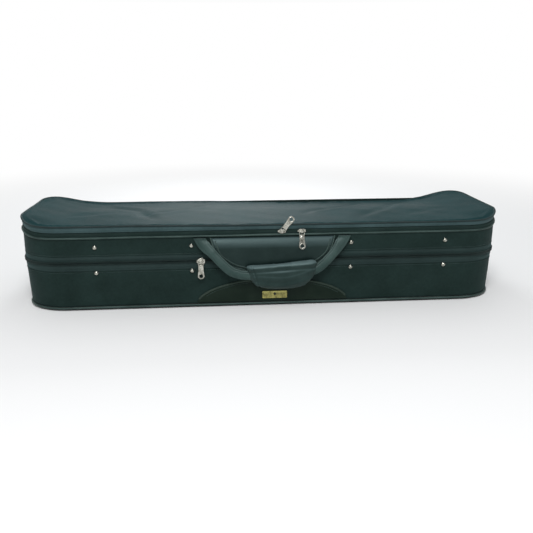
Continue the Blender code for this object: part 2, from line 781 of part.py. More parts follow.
def make_main_sliders():
    wing = (SPLIT_Z - 0.0055, SPLIT_Z + 0.0055)
    left, left_at = make_slider("main_slider_left", MAIN_SLIDER_X[0], wing, SPLIT_Z, 0.0021, SPLIT_Z)
    right, right_at = make_slider("main_slider_right", MAIN_SLIDER_X[1], wing, SPLIT_Z, 0.0021, SPLIT_Z,
                                  pull_lies=True)
    hanging = make_pull("main_pull_left", left_at, (1, 0, 0), (0, 0, -1))
    lying = make_pull("main_pull_right", right_at, (0, 0, 1), (1, 0, 0))
    left_empty = joint_empty("main_pull_left_axis", left_at)
    hang(left_empty, hanging)
    return [left, right, hanging, lying]


def make_pocket_sliders():
    wing = (0.1189, 0.1262)
    middle = sum(wing) / 2
    left, left_at = make_slider("pocket_slider_left", POCKET_SLIDER_X[0], wing, middle, 0.0003, POCKET_ZIP_Z)
    right, right_at = make_slider("pocket_slider_right", POCKET_SLIDER_X[1], wing, middle, 0.0003,
                                  POCKET_ZIP_Z)
    tilt = math.radians(PULL_TILT)
    hanging = make_pull("pocket_pull_right", right_at, (1, 0, 0), (0, -math.sin(tilt), -math.cos(tilt)))
    leaning = make_pull("pocket_pull_left", left_at, (PULL_LEAN[2], 0, -PULL_LEAN[0]), PULL_LEAN)
    hang(joint_empty("pocket_pull_right_axis", right_at), hanging)
    hang(joint_empty("pocket_pull_left_axis", left_at), leaning)
    return [left, right, hanging, leaning]


# ---------------------------------------------------------------- handle and flap

STRAP_PATH = (
    # x, depth out of the centre plane, z
    (-0.1065, 0.1285, 0.1138), (-0.1050, 0.1286, 0.1100), (-0.0970, 0.1318, 0.1000),
    (-0.0895, 0.1352, 0.0930), (-0.0830, 0.1372, 0.0860), (-0.0615, 0.1412, 0.0645),
    (-0.0490, 0.1420, 0.0590), (-0.0360, 0.1420, 0.0562), (0.0000, 0.1420, 0.0550),
    (0.0400, 0.1420, 0.0568), (0.0660, 0.1420, 0.0605), (0.0800, 0.1412, 0.0655),
    (0.0925, 0.1392, 0.0765), (0.1030, 0.1360, 0.0870), (0.1090, 0.1340, 0.0940),
    (0.1140, 0.1318, 0.1010), (0.1205, 0.1286, 0.1100), (0.1220, 0.1285, 0.1138),
)
STRAP_WIDTH = 0.018
STRAP_T = 0.0036


def ribbon(name, path, width, thickness):
    """A flat strap along a path, facing the front; its two ends are cut level."""
    shape = bmesh.new()
    rows = []
    for i, (x, out, z) in enumerate(path):
        before, after = path[max(i - 1, 0)], path[min(i + 1, len(path) - 1)]
        run = Vector((after[0] - before[0], after[2] - before[2])).normalized()
        side = Vector((run.y, -run.x))
        if i in (0, len(path) - 1):
            side = Vector((-1.0 if i == 0 else 1.0, 0.0))
        side = side * width / 2
        ends = [(x + sign * side.x, -out, z + sign * side.y) for sign in (-1, 1)]
        rows.append([shape.verts.new(end) for end in ends])
    for a, b in zip(rows, rows[1:]):
        shape.faces.new((a[0], a[1], b[1], b[0]))
    mesh = bpy.data.meshes.new(name)
    shape.to_mesh(mesh)
    shape.free()
    obj = mesh_object(name, mesh)
    solid = obj.modifiers.new("thickness", "SOLIDIFY")
    solid.thickness = thickness
    solid.offset = 0.0
    return obj


def make_handle():
    strap = part(ribbon("handle_strap", STRAP_PATH, STRAP_WIDTH, STRAP_T), "leatherette")
    slot = tool(ribbon("handle_slot", STRAP_PATH, STRAP_WIDTH + 2 * GAP, STRAP_T + 2 * GAP))
    outline = [(-0.037, 0.069), (-0.026, 0.040), (-0.019, 0.0325), (-0.004, 0.0290), (0.015, 0.0275),
               (0.042, 0.0290), (0.058, 0.0335), (0.068, 0.0420), (0.076, 0.0560), (0.0775, 0.0690),
               (0.074, 0.0765), (0.040, 0.0735), (0.000, 0.0700)]
    grip = plate("handle_grip", [outline], 0.1358, 0.1488, FRONT_VIEW)
    ease_edges(grip, 0.003)
    cut(grip, slot)
    part(grip, "leatherette")
    hang(joint_empty("handle_axis", HANDLE_AXIS), strap, grip)
    return [strap, grip]


FLAP_T = 0.0016
FLAP_LIFT = 0.0067        # how far the flap bows out to clear the zip
FLAP_TOP = 0.1135


def flap_out(x, z):
    """The flap's outer face, measured out of the centre plane."""
    return 0.1274 + FLAP_LIFT * smooth((FLAP_TOP - z) / 0.0255)


def make_flap():
    half = [(0.098, FLAP_TOP), (0.0925, 0.098), (0.085, 0.083), (0.0645, 0.0685), (0.047, 0.063),
            (0.034, 0.0560), (0.018, 0.0510)]
    outline = [(FRONT_CENTRE - x, z) for x, z in half] + [(FRONT_CENTRE, 0.0500)]
    outline += [(FRONT_CENTRE + x, z) for x, z in half[::-1]]
    flap = sheet("zip_flap", outline, (8, 12), flap_out, FLAP_T, FRONT_VIEW)
    part(flap, "leatherette")
    hang(joint_empty("flap_axis", FLAP_AXIS), flap)
    return [flap]


# ---------------------------------------------------------------- the case

def build():
    clear_scene()
    body = make_base()
    shell, cover, lining = make_body_walls()
    body += [shell, cover, lining]
    body += make_bed() + make_cradle() + make_accessory_box() + make_front_trim() + make_stays()
    lid_shell, lid_cover, lid_lining, lid_panel, lid_piping = make_lid_walls()
    lid = [lid_shell, lid_cover, lid_lining, lid_panel, lid_piping, make_pocket_zip_lower()]
    zip_lower, zip_upper = make_main_zip()
    tape_lower, tape_upper = make_hinge_tapes()
    body += [zip_lower, tape_lower]
    lid += [zip_upper, tape_upper]
    walls = {"body": [shell, cover, lining], "lid": [lid_shell, lid_cover, lid_lining]}
    body_fixings, lid_fixings = make_fixings(walls)
    loops, spinners = make_bow_holders()
    lid += lid_fixings + loops
    make_accessory_lid()
    make_neck_strap()
    make_main_sliders()
    lid_empty = joint_empty("lid_axis", LID_AXIS)
    pocket_empty = joint_empty("pocket_axis", POCKET_AXIS, lid_empty)
    hang(pocket_empty, *make_pocket())
    sliders = make_pocket_sliders()
    hang(lid_empty, *lid, *sliders[:2])
    for obj in make_handle() + make_flap() + spinners + sliders[2:]:
        if obj.parent and obj.parent.parent is None:
            hang(lid_empty, obj.parent)


build()
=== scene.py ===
"""Looks of an oblong zip violin case: nylon skin, zips, piping, leatherette handle and plush interior.

Metres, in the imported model's frame: +X along the case, the front with its handle faces -Y, +Z up.
"""

import json
import math

import bmesh
import bpy
import numpy as np
from mathutils import Matrix, Vector


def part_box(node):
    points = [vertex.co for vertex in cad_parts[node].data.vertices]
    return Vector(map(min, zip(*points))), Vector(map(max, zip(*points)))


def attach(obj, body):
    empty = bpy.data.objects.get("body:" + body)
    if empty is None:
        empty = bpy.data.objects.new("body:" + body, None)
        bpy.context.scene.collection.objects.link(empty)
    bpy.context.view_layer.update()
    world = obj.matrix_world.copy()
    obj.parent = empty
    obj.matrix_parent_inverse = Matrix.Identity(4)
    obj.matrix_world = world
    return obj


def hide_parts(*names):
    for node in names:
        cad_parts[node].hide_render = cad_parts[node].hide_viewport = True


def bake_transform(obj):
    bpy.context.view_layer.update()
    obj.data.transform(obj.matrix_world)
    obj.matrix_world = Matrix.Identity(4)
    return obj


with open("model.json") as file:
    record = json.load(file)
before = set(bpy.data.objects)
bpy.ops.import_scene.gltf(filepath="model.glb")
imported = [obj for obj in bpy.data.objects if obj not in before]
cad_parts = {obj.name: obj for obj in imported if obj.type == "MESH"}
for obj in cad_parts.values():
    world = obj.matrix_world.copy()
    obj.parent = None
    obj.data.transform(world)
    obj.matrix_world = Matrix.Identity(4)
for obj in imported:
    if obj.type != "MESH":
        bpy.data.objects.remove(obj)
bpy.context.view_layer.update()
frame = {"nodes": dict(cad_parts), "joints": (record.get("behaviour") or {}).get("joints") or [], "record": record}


# ---------------------------------------------------------------- places read from the frame

def span(node, axis):
    low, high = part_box(node)
    return low[axis], high[axis]


X, Y, Z = 0, 1, 2
HALF_X = span("lid_cover", X)[1]
HALF_Y = span("lid_cover", Y)[1]
CORNER = np.array((0.068, 0.06))           # reach of the elliptical corners
FLAT = (HALF_X - CORNER[0], HALF_Y - CORNER[1])  # half of each straight stretch between them
BASE_TOP = span("base_panel", Z)[1]
BODY_Z = span("body_cover", Z)
LID_Z = (span("lid_cover", Z)[0] - 0.003, span("lid_cover", Z)[1])     # its hem laps the tape
TAPE_LOW = span("main_zip_lower", Z)
TAPE_HIGH = span("main_zip_upper", Z)
SPLIT_Z = (TAPE_LOW[1] + TAPE_HIGH[0]) / 2
HINGE_X = span("hinge_tape_lower", X)[1]
LID_PANEL_TOP = span("lid_top_panel", Z)[1]
LID_PIPING_Z = LID_PANEL_TOP - 0.0006
BASE_PIPING_Z = sum(span("base_piping", Z)) / 2
POCKET_EDGE = LID_PANEL_TOP + 0.016        # the seam round the pocket's panel, along the front
POCKET_ZIP_Z = LID_PANEL_TOP + 0.004
POCKET_ZIP_TOP = POCKET_ZIP_Z + 0.004      # its tape's upper edge
SHELL_TOP = span("body_shell", Z)[1]
LID_RIM = span("lid_shell", Z)[0]
END_LEAN = 0.004                           # each end leans in by this much at the base
END_RISE = 0.0095                          # the lid's soft top edge stands up this much round the ends

PIPING_INSET = -0.0004
POCKET_FALL = 0.013                        # how far the pocket's rear edge drops to the lid
POCKET_FULLER = 0.0045                     # and how much less over its left half
FALL_X = (0.385, 0.275)                    # the pocket's rear edge drops between these
POCKET_FULL = 0.0024                       # how much fuller it stands along the left of its front
POCKET_STOP = 0.352                        # its zip ends here, on the rear


def smooth(t):
    """Eases from 0 to 1 as t does."""
    t = np.clip(t, 0.0, 1.0)
    return t * t * (3 - 2 * t)


def unit(vectors):
    """Each row scaled to length one."""
    return vectors / np.linalg.norm(vectors, axis=1)[:, None]


def walked(path):
    """Distance along a path to each of its points."""
    return np.concatenate(([0.0], np.cumsum(np.linalg.norm(np.diff(path, axis=0), axis=1))))


def sampled(places, length, values):
    """Rows of values read at places along a path."""
    return np.stack([np.interp(places, length, column) for column in values.T], axis=1)


def hump(distance, width):
    """A smooth bump, 1 at no distance and fading over the width."""
    return np.exp(-(distance / width) ** 2)


def centre_of(node):
    low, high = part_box(node)
    return [(a + b) / 2 for a, b in zip(low, high)]


# ---------------------------------------------------------------- the outline, walked in small steps

def walk(step=0.004, corner_steps=26):
    """Stations once round the outline, from the rear middle past the left end.

    Each has a centre and a direction: the outline at an inset is centre + (CORNER - inset) * direction.
    """
    flat_x, flat_y = FLAT
    centres, directions = [], []

    def straight(start, end, direction):
        count = max(1, int(math.dist(start, end) / step))
        for i in range(count):
            t = i / count
            centres.append([a + (b - a) * t for a, b in zip(start, end)])
            directions.append(direction)

    def corner(centre, turn):
        for i in range(corner_steps):
            a = turn + math.pi / 2 * i / corner_steps
            centres.append(centre)
            directions.append((math.cos(a), math.sin(a)))

    straight((0, flat_y), (-flat_x, flat_y), (0, 1))
    corner((-flat_x, flat_y), math.pi / 2)
    straight((-flat_x, flat_y), (-flat_x, -flat_y), (-1, 0))
    corner((-flat_x, -flat_y), math.pi)
    straight((-flat_x, -flat_y), (flat_x, -flat_y), (0, -1))
    corner((flat_x, -flat_y), math.pi * 1.5)
    straight((flat_x, -flat_y), (flat_x, flat_y), (1, 0))
    corner((flat_x, flat_y), 0.0)
    straight((flat_x, flat_y), (0, flat_y), (0, 1))
    return np.array(centres, float), np.array(directions, float)


class Run:
    """A stretch of the outline: the whole loop, or what is left of it past a stop on the rear."""

    def __init__(self, stop=None, step=0.004, corner_steps=26, rear_only=False):
        self.centre, self.direction = walk(step, corner_steps)
        self.closed = stop is None
        if stop is not None:
            base = self.at(0.0)
            at_rear = (base[:, 1] > HALF_Y - CORNER[1] + 0.001) & (np.abs(base[:, 0]) < stop)
            keep = at_rear if rear_only else ~at_rear
            if rear_only:
                order = np.argsort(base[:, 0])
                order = order[keep[order]]
                self.centre, self.direction = self.centre[order], self.direction[order]
            else:
                self.centre, self.direction = self.centre[keep], self.direction[keep]
        base = self.at(0.0)
        following = np.roll(base, -1, axis=0)
        steps = np.linalg.norm(following - base, axis=1)
        self.length = np.concatenate(([0.0], np.cumsum(steps)[:-1]))
        self.total = float(self.length[-1] + (steps[-1] if self.closed else 0.0))

    def at(self, inset):
        return self.centre + (CORNER - inset) * self.direction

    def out(self):
        """Outward normals."""
        base = self.at(0.0)
        after, before = np.roll(base, -1, axis=0), np.roll(base, 1, axis=0)
        if not self.closed:
            after[-1], before[0] = base[-1], base[0]
        along = after - before
        along = unit(along)
        normal = np.stack((along[:, 1], -along[:, 0]), axis=1)
        flip = np.sign(np.sum(normal * self.direction, axis=1))
        return normal * flip[:, None]

    def spaced(self, pitch, inset, z):
        """Evenly spaced points at an inset and height, with the direction along and outward."""
        places = self.at(inset)
        normals = self.out()
        length = self.length
        if self.closed:
            places = np.vstack((places, places[:1]))
            normals = np.vstack((normals, normals[:1]))
            length = np.append(length, self.total)
        wanted = np.arange(pitch / 2, self.total - pitch / 4, pitch)
        flat = sampled(wanted, length, places)
        facing = sampled(wanted, length, normals)
        height = z(*flat.T) if callable(z) else np.full(len(flat), z)
        points = np.column_stack((flat, height))
        outward = np.column_stack((facing, np.zeros(len(facing))))
        outward = unit(outward)
        along = np.gradient(points, axis=0)
        along = unit(along)
        return points, along, outward


def lean(points):
    """The lower half's ends lean in towards the base."""
    share = END_LEAN / HALF_X
    points = np.array(points, float)
    points[..., 0] *= 1.0 - share * (SPLIT_Z - points[..., 2]) / SPLIT_Z
    return points


def ripple(s, z, scale, seed):
    """A soft irregular wave, about -1 to 1, along s and z."""
    total = np.zeros(np.broadcast(s, z).shape)
    for k in range(5):
        turn = seed * 1.7 + k * 2.399
        long = scale * (1.0 + 0.61 * k)
        wave = s / long + z / (long * (0.7 + 0.2 * k))
        total += np.sin(2 * np.pi * wave * (-1) ** k + turn) / (1 + 0.5 * k)
    return total / 2.6


def end_rise(x, y):
    """How far the lid's top edge stands up round the two ends, behind the front corners."""
    along = smooth((np.abs(x) - (HALF_X - CORNER[0])) / CORNER[0])
    across = smooth((y + HALF_Y) / CORNER[1])
    return END_RISE * along * across


def pocket_fall(x, y):
    """How far the pocket's panel drops towards the rear."""
    depth = POCKET_FALL - POCKET_FULLER * smooth((0.1 - x) / 0.26)
    along = smooth((FALL_X[0] - np.abs(x)) / (FALL_X[0] - FALL_X[1]))
    across = smooth((y + 0.03) / (HALF_Y + 0.03))
    return depth * along * across


def pocket_full(x, y):
    """The pocket stands a little fuller along the left of the front."""
    return POCKET_FULL * smooth((0.02 - x) / 0.26) * smooth((0.06 - y) / 0.12)


def pocket_edge(x, y):
    """Height of the seam round the pocket's panel."""
    return POCKET_EDGE - pocket_fall(x, y) + end_rise(x, y) + pocket_full(x, y)


# ---------------------------------------------------------------- mesh helpers

def linked(name, data):
    """A new object in the scene."""
    obj = bpy.data.objects.new(name, data)
    bpy.context.scene.collection.objects.link(obj)
    return obj


def cleaned(name, mesh, sharp, merge=None):
    """The mesh as an object: outward normals, smooth but for edges sharper than an angle in degrees."""
    shape = bmesh.new()
    shape.from_mesh(mesh)
    if merge:
        bmesh.ops.remove_doubles(shape, verts=shape.verts, dist=merge)
    bmesh.ops.recalc_face_normals(shape, faces=shape.faces)
    shape.to_mesh(mesh)
    shape.free()
    mesh.shade_smooth()
    mesh.set_sharp_from_angle(angle=math.radians(sharp))
    return linked(name, mesh)


def finished(name, verts, faces, sharp):
    mesh = bpy.data.meshes.new(name)
    mesh.from_pydata([tuple(map(float, v)) for v in verts], [], faces)
    return cleaned(name, mesh, sharp)


def modify(obj, kind, **settings):
    """Gives a piece one modifier and applies it."""
    made = obj.modifiers.new("shape", kind)
    for key, value in settings.items():
        setattr(made, key, value)
    bpy.context.view_layer.objects.active = obj
    obj.select_set(True)
    bpy.ops.object.modifier_apply(modifier=made.name)
    obj.select_set(False)


def end_caps(rows, columns):
    """The two faces that close the ends of a tube of rings."""
    last = (rows - 1) * columns
    return [tuple(range(columns)), tuple(range(last, last + columns))]


def grid_faces(rows, columns, wrap_rows=False, wrap_columns=False):
    """Four-sided faces over rows of points."""
    faces = []
    for i in range(rows if wrap_rows else rows - 1):
        a, b = i * columns, ((i + 1) % rows) * columns
        for j in range(columns if wrap_columns else columns - 1):
            k = (j + 1) % columns
            faces.append((a + j, a + k, b + k, b + j))
    return faces


def carried(section, run):
    """A section of (inset, z) points carried along a run: rows of points."""
    places = np.zeros((len(run.centre), len(section), 3))
    for j, (inset, z) in enumerate(section):
        places[:, j, :2] = run.at(inset)
        places[:, j, 2] = z
    return places


def sweep(name, section, run, shift=None, leaned=False, sharp=50.0):
    """A closed section carried along a run; shift gives (outward, up) offsets."""
    rows, columns = len(run.centre), len(section)
    places = carried(section, run)
    if shift is not None:
        s = run.length[:, None]
        out, up = shift(places[..., 0], places[..., 1], places[..., 2], s)
        normals = run.out()
        places[..., 0] += normals[:, None, 0] * out
        places[..., 1] += normals[:, None, 1] * out
        places[..., 2] += up
    if leaned:
        places = lean(places)
    faces = grid_faces(rows, columns, run.closed, True)
    if not run.closed:
        faces += end_caps(rows, columns)
    return finished(name, places.reshape(-1, 3), faces, sharp)


def tube(name, path, radius, closed, sides):
    """A round cord through path."""
    path = np.asarray(path, float)
    count = len(path)
    after, before = np.roll(path, -1, axis=0), np.roll(path, 1, axis=0)
    if not closed:
        after[-1], before[0] = path[-1], path[0]
    along = after - before
    along = unit(along)
    first = np.cross(along, (0.0, 0.0, 1.0))
    first = unit(first)
    second = np.cross(along, first)
    turns = np.arange(sides) * 2 * np.pi / sides
    rings = (path[:, None, :]
             + radius * (np.cos(turns)[None, :, None] * first[:, None, :]
                         + np.sin(turns)[None, :, None] * second[:, None, :]))
    faces = grid_faces(count, sides, closed, True)
    if not closed:
        faces += end_caps(count, sides)
    return finished(name, rings.reshape(-1, 3), faces, 60.0)


def beads(name, centres, axes, outward, length, radius, squash=1.0):
    """Many small capsules in one object: stitches, or the coils of a zip."""
    centres, axes, outward = (np.asarray(a, float) for a in (centres, axes, outward))
    side = np.cross(axes, outward)
    side = unit(side)
    sides = 6
    turns = np.arange(sides) * 2 * np.pi / sides
    half = length / 2
    rings = ((-half, 0.35), (-half * 0.72, 0.95), (half * 0.72, 0.95), (half, 0.35))
    verts = []
    for place, fat in rings:
        ring = (centres[:, None, :] + axes[:, None, :] * place
                + radius * fat * (np.cos(turns)[None, :, None] * side[:, None, :]
                                  + squash * np.sin(turns)[None, :, None] * outward[:, None, :]))
        verts.append(ring)
    verts = np.stack(verts, axis=1)
    per = len(rings) * sides
    single = grid_faces(len(rings), sides, False, True) + end_caps(len(rings), sides)
    faces = [tuple(v + n * per for v in face) for n in range(len(centres)) for face in single]
    return finished(name, verts.reshape(-1, 3), faces, 70.0)


def curve_plate(name, loops, thickness, matrix, rounded, resolution):
    """A flat plate with rounded edges; loops after the first are holes. matrix places its mid plane."""
    curve = bpy.data.curves.new(name, "CURVE")
    curve.dimensions = "2D"
    curve.fill_mode = "BOTH"
    curve.bevel_depth = rounded
    curve.bevel_resolution = resolution
    curve.extrude = thickness / 2 - rounded
    curve.offset = -rounded
    for loop in loops:
        spline = curve.splines.new("POLY")
        spline.points.add(len(loop) - 1)
        for point, (u, v) in zip(spline.points, loop):
            point.co = (u, v, 0.0, 1.0)
        spline.use_cyclic_u = True
    holder = linked(name + "_curve", curve)
    bpy.context.view_layer.update()
    mesh = bpy.data.meshes.new_from_object(holder.evaluated_get(bpy.context.evaluated_depsgraph_get()))
    bpy.data.objects.remove(holder, do_unlink=True)
    mesh.transform(matrix)
    return cleaned(name, mesh, 35.0, 0.000005)


def turned(name, profile, matrix, steps):
    """A solid of revolution about local z from (radius, z) points, top to bottom."""
    turns = np.arange(steps) * 2 * np.pi / steps
    inner = [(r, z) for r, z in profile if r > 1e-6]
    rings = np.array([[(r * math.cos(a), r * math.sin(a), z) for a in turns] for r, z in inner])
    verts = [tuple(v) for v in rings.reshape(-1, 3)]
    faces = grid_faces(len(inner), steps, False, True)
    for end, first in ((0, 0), (-1, (len(inner) - 1) * steps)):
        if profile[end][0] <= 1e-6:
            verts.append((0.0, 0.0, profile[end][1]))
            tip = len(verts) - 1
            faces += [(first + i, first + (i + 1) % steps, tip) for i in range(steps)]
    placed = [tuple(matrix @ Vector(v)) for v in verts]
    return finished(name, placed, faces, 30.0)


def arc(centre, radius, start, end, steps):
    """Points along a circle from start to end, in degrees."""
    angles = [math.radians(start + (end - start) * i / steps) for i in range(steps + 1)]
    return [(centre[0] + radius * math.cos(a), centre[1] + radius * math.sin(a)) for a in angles]


def rounded_box(half_u, half_v, corner, radius, steps):
    """A rectangle's outline with arcs of a radius, centred in by corner from each side."""
    outline = []
    for turn, u, v in ((0, 1, 1), (90, -1, 1), (180, -1, -1), (270, 1, -1)):
        outline += arc((u * (half_u - corner), v * (half_v - corner)), radius, turn, turn + 90, steps)
    return outline


def through(points, per_span):
    """Points on a smooth curve through the given ones."""
    points = [np.array(p, float) for p in points]
    padded = [2 * points[0] - points[1]] + points + [2 * points[-1] - points[-2]]
    result = []
    for a, b, c, d in zip(padded, padded[1:], padded[2:], padded[3:]):
        for i in range(per_span):
            t = i / per_span
            result.append(0.5 * (2 * b + (c - a) * t + (2 * a - 5 * b + 4 * c - d) * t * t
                                 + (3 * b - a - 3 * c + d) * t ** 3))
    result.append(points[-1])
    return np.array(result)


def frame_of(across, along, at):
    """A frame at a point, with local x across and y along."""
    u, v = Vector(across).normalized(), Vector(along).normalized()
    matrix = Matrix((u, v, u.cross(v))).transposed().to_4x4()
    matrix.translation = Vector(at)
    return matrix


FRONT = Matrix(((1, 0, 0, 0), (0, 0, -1, 0), (0, 1, 0, 0), (0, 0, 0, 1)))


def front_at(x, out, z):
    """A frame on the front: local x to the right, y up, z out of the front."""
    return Matrix.Translation((x, -out, z)) @ FRONT


# ---------------------------------------------------------------- materials

TEAL = (0.35, 0.8, 0.82)
WEAVE = 0.0011                             # pitch of the case's nylon


def shader_of(name):
    found = bpy.data.materials.new(name)
    found.use_nodes = True
    tree = found.node_tree
    return found, tree, tree.nodes["Principled BSDF"]


def node(tree, kind, **values):
    made = tree.nodes.new(kind)
    for key, value in values.items():
        if key in made.inputs:
            made.inputs[key].default_value = value
        else:
            setattr(made, key, value)
    return made


def math_node(tree, operation, *values):
    made = node(tree, "ShaderNodeMath", operation=operation)
    for socket, value in zip(made.inputs, values):
        if isinstance(value, (int, float)):
            socket.default_value = value
        else:
            tree.links.new(value, socket)
    return made.outputs[0]


def noise(tree, place, scale, detail=3.0, rough=0.55):
    made = node(tree, "ShaderNodeTexNoise", Scale=scale, Detail=detail, Roughness=rough)
    tree.links.new(place, made.inputs["Vector"])
    return made.outputs["Fac"]


def ramp(tree, value, stops):
    made = node(tree, "ShaderNodeValToRGB")
    bar = made.color_ramp.elements
    while len(bar) < len(stops):
        bar.new(0.5)
    for element, (place, colour) in zip(bar, stops):
        element.position = place
        element.color = (*colour, 1.0)
    tree.links.new(value, made.inputs["Fac"])
    return made.outputs["Color"]


def bump(tree, height, distance, strength, shader):
    made = node(tree, "ShaderNodeBump", Distance=distance, Strength=strength)
    tree.links.new(height, made.inputs["Height"])
    tree.links.new(made.outputs["Normal"], shader.inputs["Normal"])


def weave_height(tree, coords, pitch):
    """A plain weave, 0 to 1, on whichever two axes the surface lies along."""
    places = node(tree, "ShaderNodeSeparateXYZ")
    tree.links.new(coords.outputs["Object"], places.inputs[0])
    facing = node(tree, "ShaderNodeSeparateXYZ")
    tree.links.new(coords.outputs["Normal"], facing.inputs[0])
    turns = 2 * math.pi / pitch
    waves = [math_node(tree, "SINE", math_node(tree, "MULTIPLY", places.outputs[k], turns)) for k in range(3)]
    weights = [math_node(tree, "MULTIPLY", facing.outputs[k], facing.outputs[k]) for k in range(3)]
    total = None
    for k in range(3):
        pair = math_node(tree, "MULTIPLY", waves[(k + 1) % 3], waves[(k + 2) % 3])
        part = math_node(tree, "MULTIPLY", pair, weights[k])
        total = part if total is None else math_node(tree, "ADD", total, part)
    return math_node(tree, "MULTIPLY_ADD", total, 0.5, 0.5)


def set_shader(shader, **values):
    """Sets the shader's own sockets; underscores in the names stand for spaces."""
    for key, value in values.items():
        shader.inputs[key.replace("_", " ")].default_value = value


def fabric(name, dark, light, pitch, roughness, sheen, tint=TEAL, depth=0.0002, mottled=22.0, gloss=0.17):
    """Woven cloth: a real weave at its own pitch, slubs, soft mottling, and a sheen at grazing angles."""
    found, tree, shader = shader_of(name)
    coords = node(tree, "ShaderNodeTexCoord")
    weave = weave_height(tree, coords, pitch)
    slubs = noise(tree, coords.outputs["Object"], 900.0, 2.0)
    cloud = noise(tree, coords.outputs["Object"], mottled, 4.0)
    fine = noise(tree, coords.outputs["Object"], 260.0, 2.0)
    mixed = math_node(tree, "MULTIPLY_ADD", cloud, 0.7, math_node(tree, "MULTIPLY", fine, 0.3))
    shade = math_node(tree, "MULTIPLY_ADD", weave, 0.16, math_node(tree, "MULTIPLY", mixed, 0.84))
    colour = ramp(tree, shade, ((0.3, dark), (0.7, light)))
    tree.links.new(colour, shader.inputs["Base Color"])
    rough = math_node(tree, "MULTIPLY_ADD", cloud, 0.18, roughness - 0.09)
    tree.links.new(rough, shader.inputs["Roughness"])
    bump(tree, math_node(tree, "MULTIPLY_ADD", slubs, 0.35, weave), depth, 0.6, shader)
    set_shader(shader, Sheen_Weight=sheen, Sheen_Roughness=0.45, Sheen_Tint=(*tint, 1.0),
               Specular_IOR_Level=gloss)
    return found


def leather(name, dark, light, roughness, grain=1100.0, depth=0.00025, gloss=0.25, wear_and_highlight=None):
    """Grained leatherette, scuffed lighter here and there, with an optional lighter colour painted on where it
    faces up as a highlight.
    """
    found, tree, shader = shader_of(name)
    coords = node(tree, "ShaderNodeTexCoord")
    cells = node(tree, "ShaderNodeTexVoronoi", feature="SMOOTH_F1", Scale=grain)
    cells.inputs["Smoothness"].default_value = 0.4
    tree.links.new(coords.outputs["Object"], cells.inputs["Vector"])
    wrinkle = noise(tree, coords.outputs["Object"], 420.0, 4.0)
    cloud = noise(tree, coords.outputs["Object"], 30.0, 4.0)
    pores = math_node(tree, "MULTIPLY", cells.outputs["Distance"], -0.7)
    height = math_node(tree, "MULTIPLY_ADD", wrinkle, 0.8, pores)
    colour = ramp(tree, cloud, ((0.32, dark), (0.68, light)))
    # Painted highlight: faces turn towards the given lighter colour as they face up, standing in for light from
    # above.
    if wear_and_highlight is not None:
        facing = node(tree, "ShaderNodeSeparateXYZ")
        tree.links.new(coords.outputs["Normal"], facing.inputs[0])
        highlight_blend = node(tree, "ShaderNodeMix", data_type="RGBA")
        upward = ramp(tree, facing.outputs["Z"], ((0.1, (0, 0, 0)), (0.6, (1, 1, 1))))
        tree.links.new(upward, highlight_blend.inputs[0])
        tree.links.new(colour, highlight_blend.inputs[6])
        highlight_blend.inputs[7].default_value = (*wear_and_highlight, 1.0)
        colour = highlight_blend.outputs[2]
    tree.links.new(colour, shader.inputs["Base Color"])
    rough = math_node(tree, "MULTIPLY_ADD", cloud, 0.22, roughness - 0.11)
    tree.links.new(rough, shader.inputs["Roughness"])
    bump(tree, height, depth, 0.55, shader)
    set_shader(shader, Specular_IOR_Level=gloss, Specular_Tint=(0.75, 1.0, 0.97, 1.0))
    return found


def metal(name, clean, wear_and_highlight, roughness):
    """Plated metal: faint brushing and duller, darker patches of wear."""
    found, tree, shader = shader_of(name)
    coords = node(tree, "ShaderNodeTexCoord")
    cloud = noise(tree, coords.outputs["Object"], 180.0, 5.0, 0.65)
    scratch = noise(tree, coords.outputs["Object"], 1620.0, 2.0)
    tree.links.new(ramp(tree, cloud, ((0.35, wear_and_highlight), (0.62, clean))), shader.inputs["Base Color"])
    rough = math_node(tree, "MULTIPLY_ADD", cloud, -0.25, roughness + 0.13)
    tree.links.new(rough, shader.inputs["Roughness"])
    bump(tree, scratch, 0.00003, 0.3, shader)
    set_shader(shader, Metallic=1.0)
    return found


def plush(name, dark, light):
    """Short pile: soft lumps of brushed fibre with a strong sheen."""
    found, tree, shader = shader_of(name)
    coords = node(tree, "ShaderNodeTexCoord")
    pile = noise(tree, coords.outputs["Object"], 1500.0, 2.0)
    brushed = noise(tree, coords.outputs["Object"], 28.0, 3.0)
    mixed = math_node(tree, "MULTIPLY_ADD", brushed, 0.7, math_node(tree, "MULTIPLY", pile, 0.3))
    tree.links.new(ramp(tree, mixed, ((0.34, dark), (0.66, light))), shader.inputs["Base Color"])
    bump(tree, pile, 0.0004, 0.7, shader)
    set_shader(shader, Roughness=0.95, Sheen_Weight=0.8, Sheen_Roughness=0.35,
               Sheen_Tint=(0.55, 0.6, 0.9, 1.0), Specular_IOR_Level=0.15)
    return found


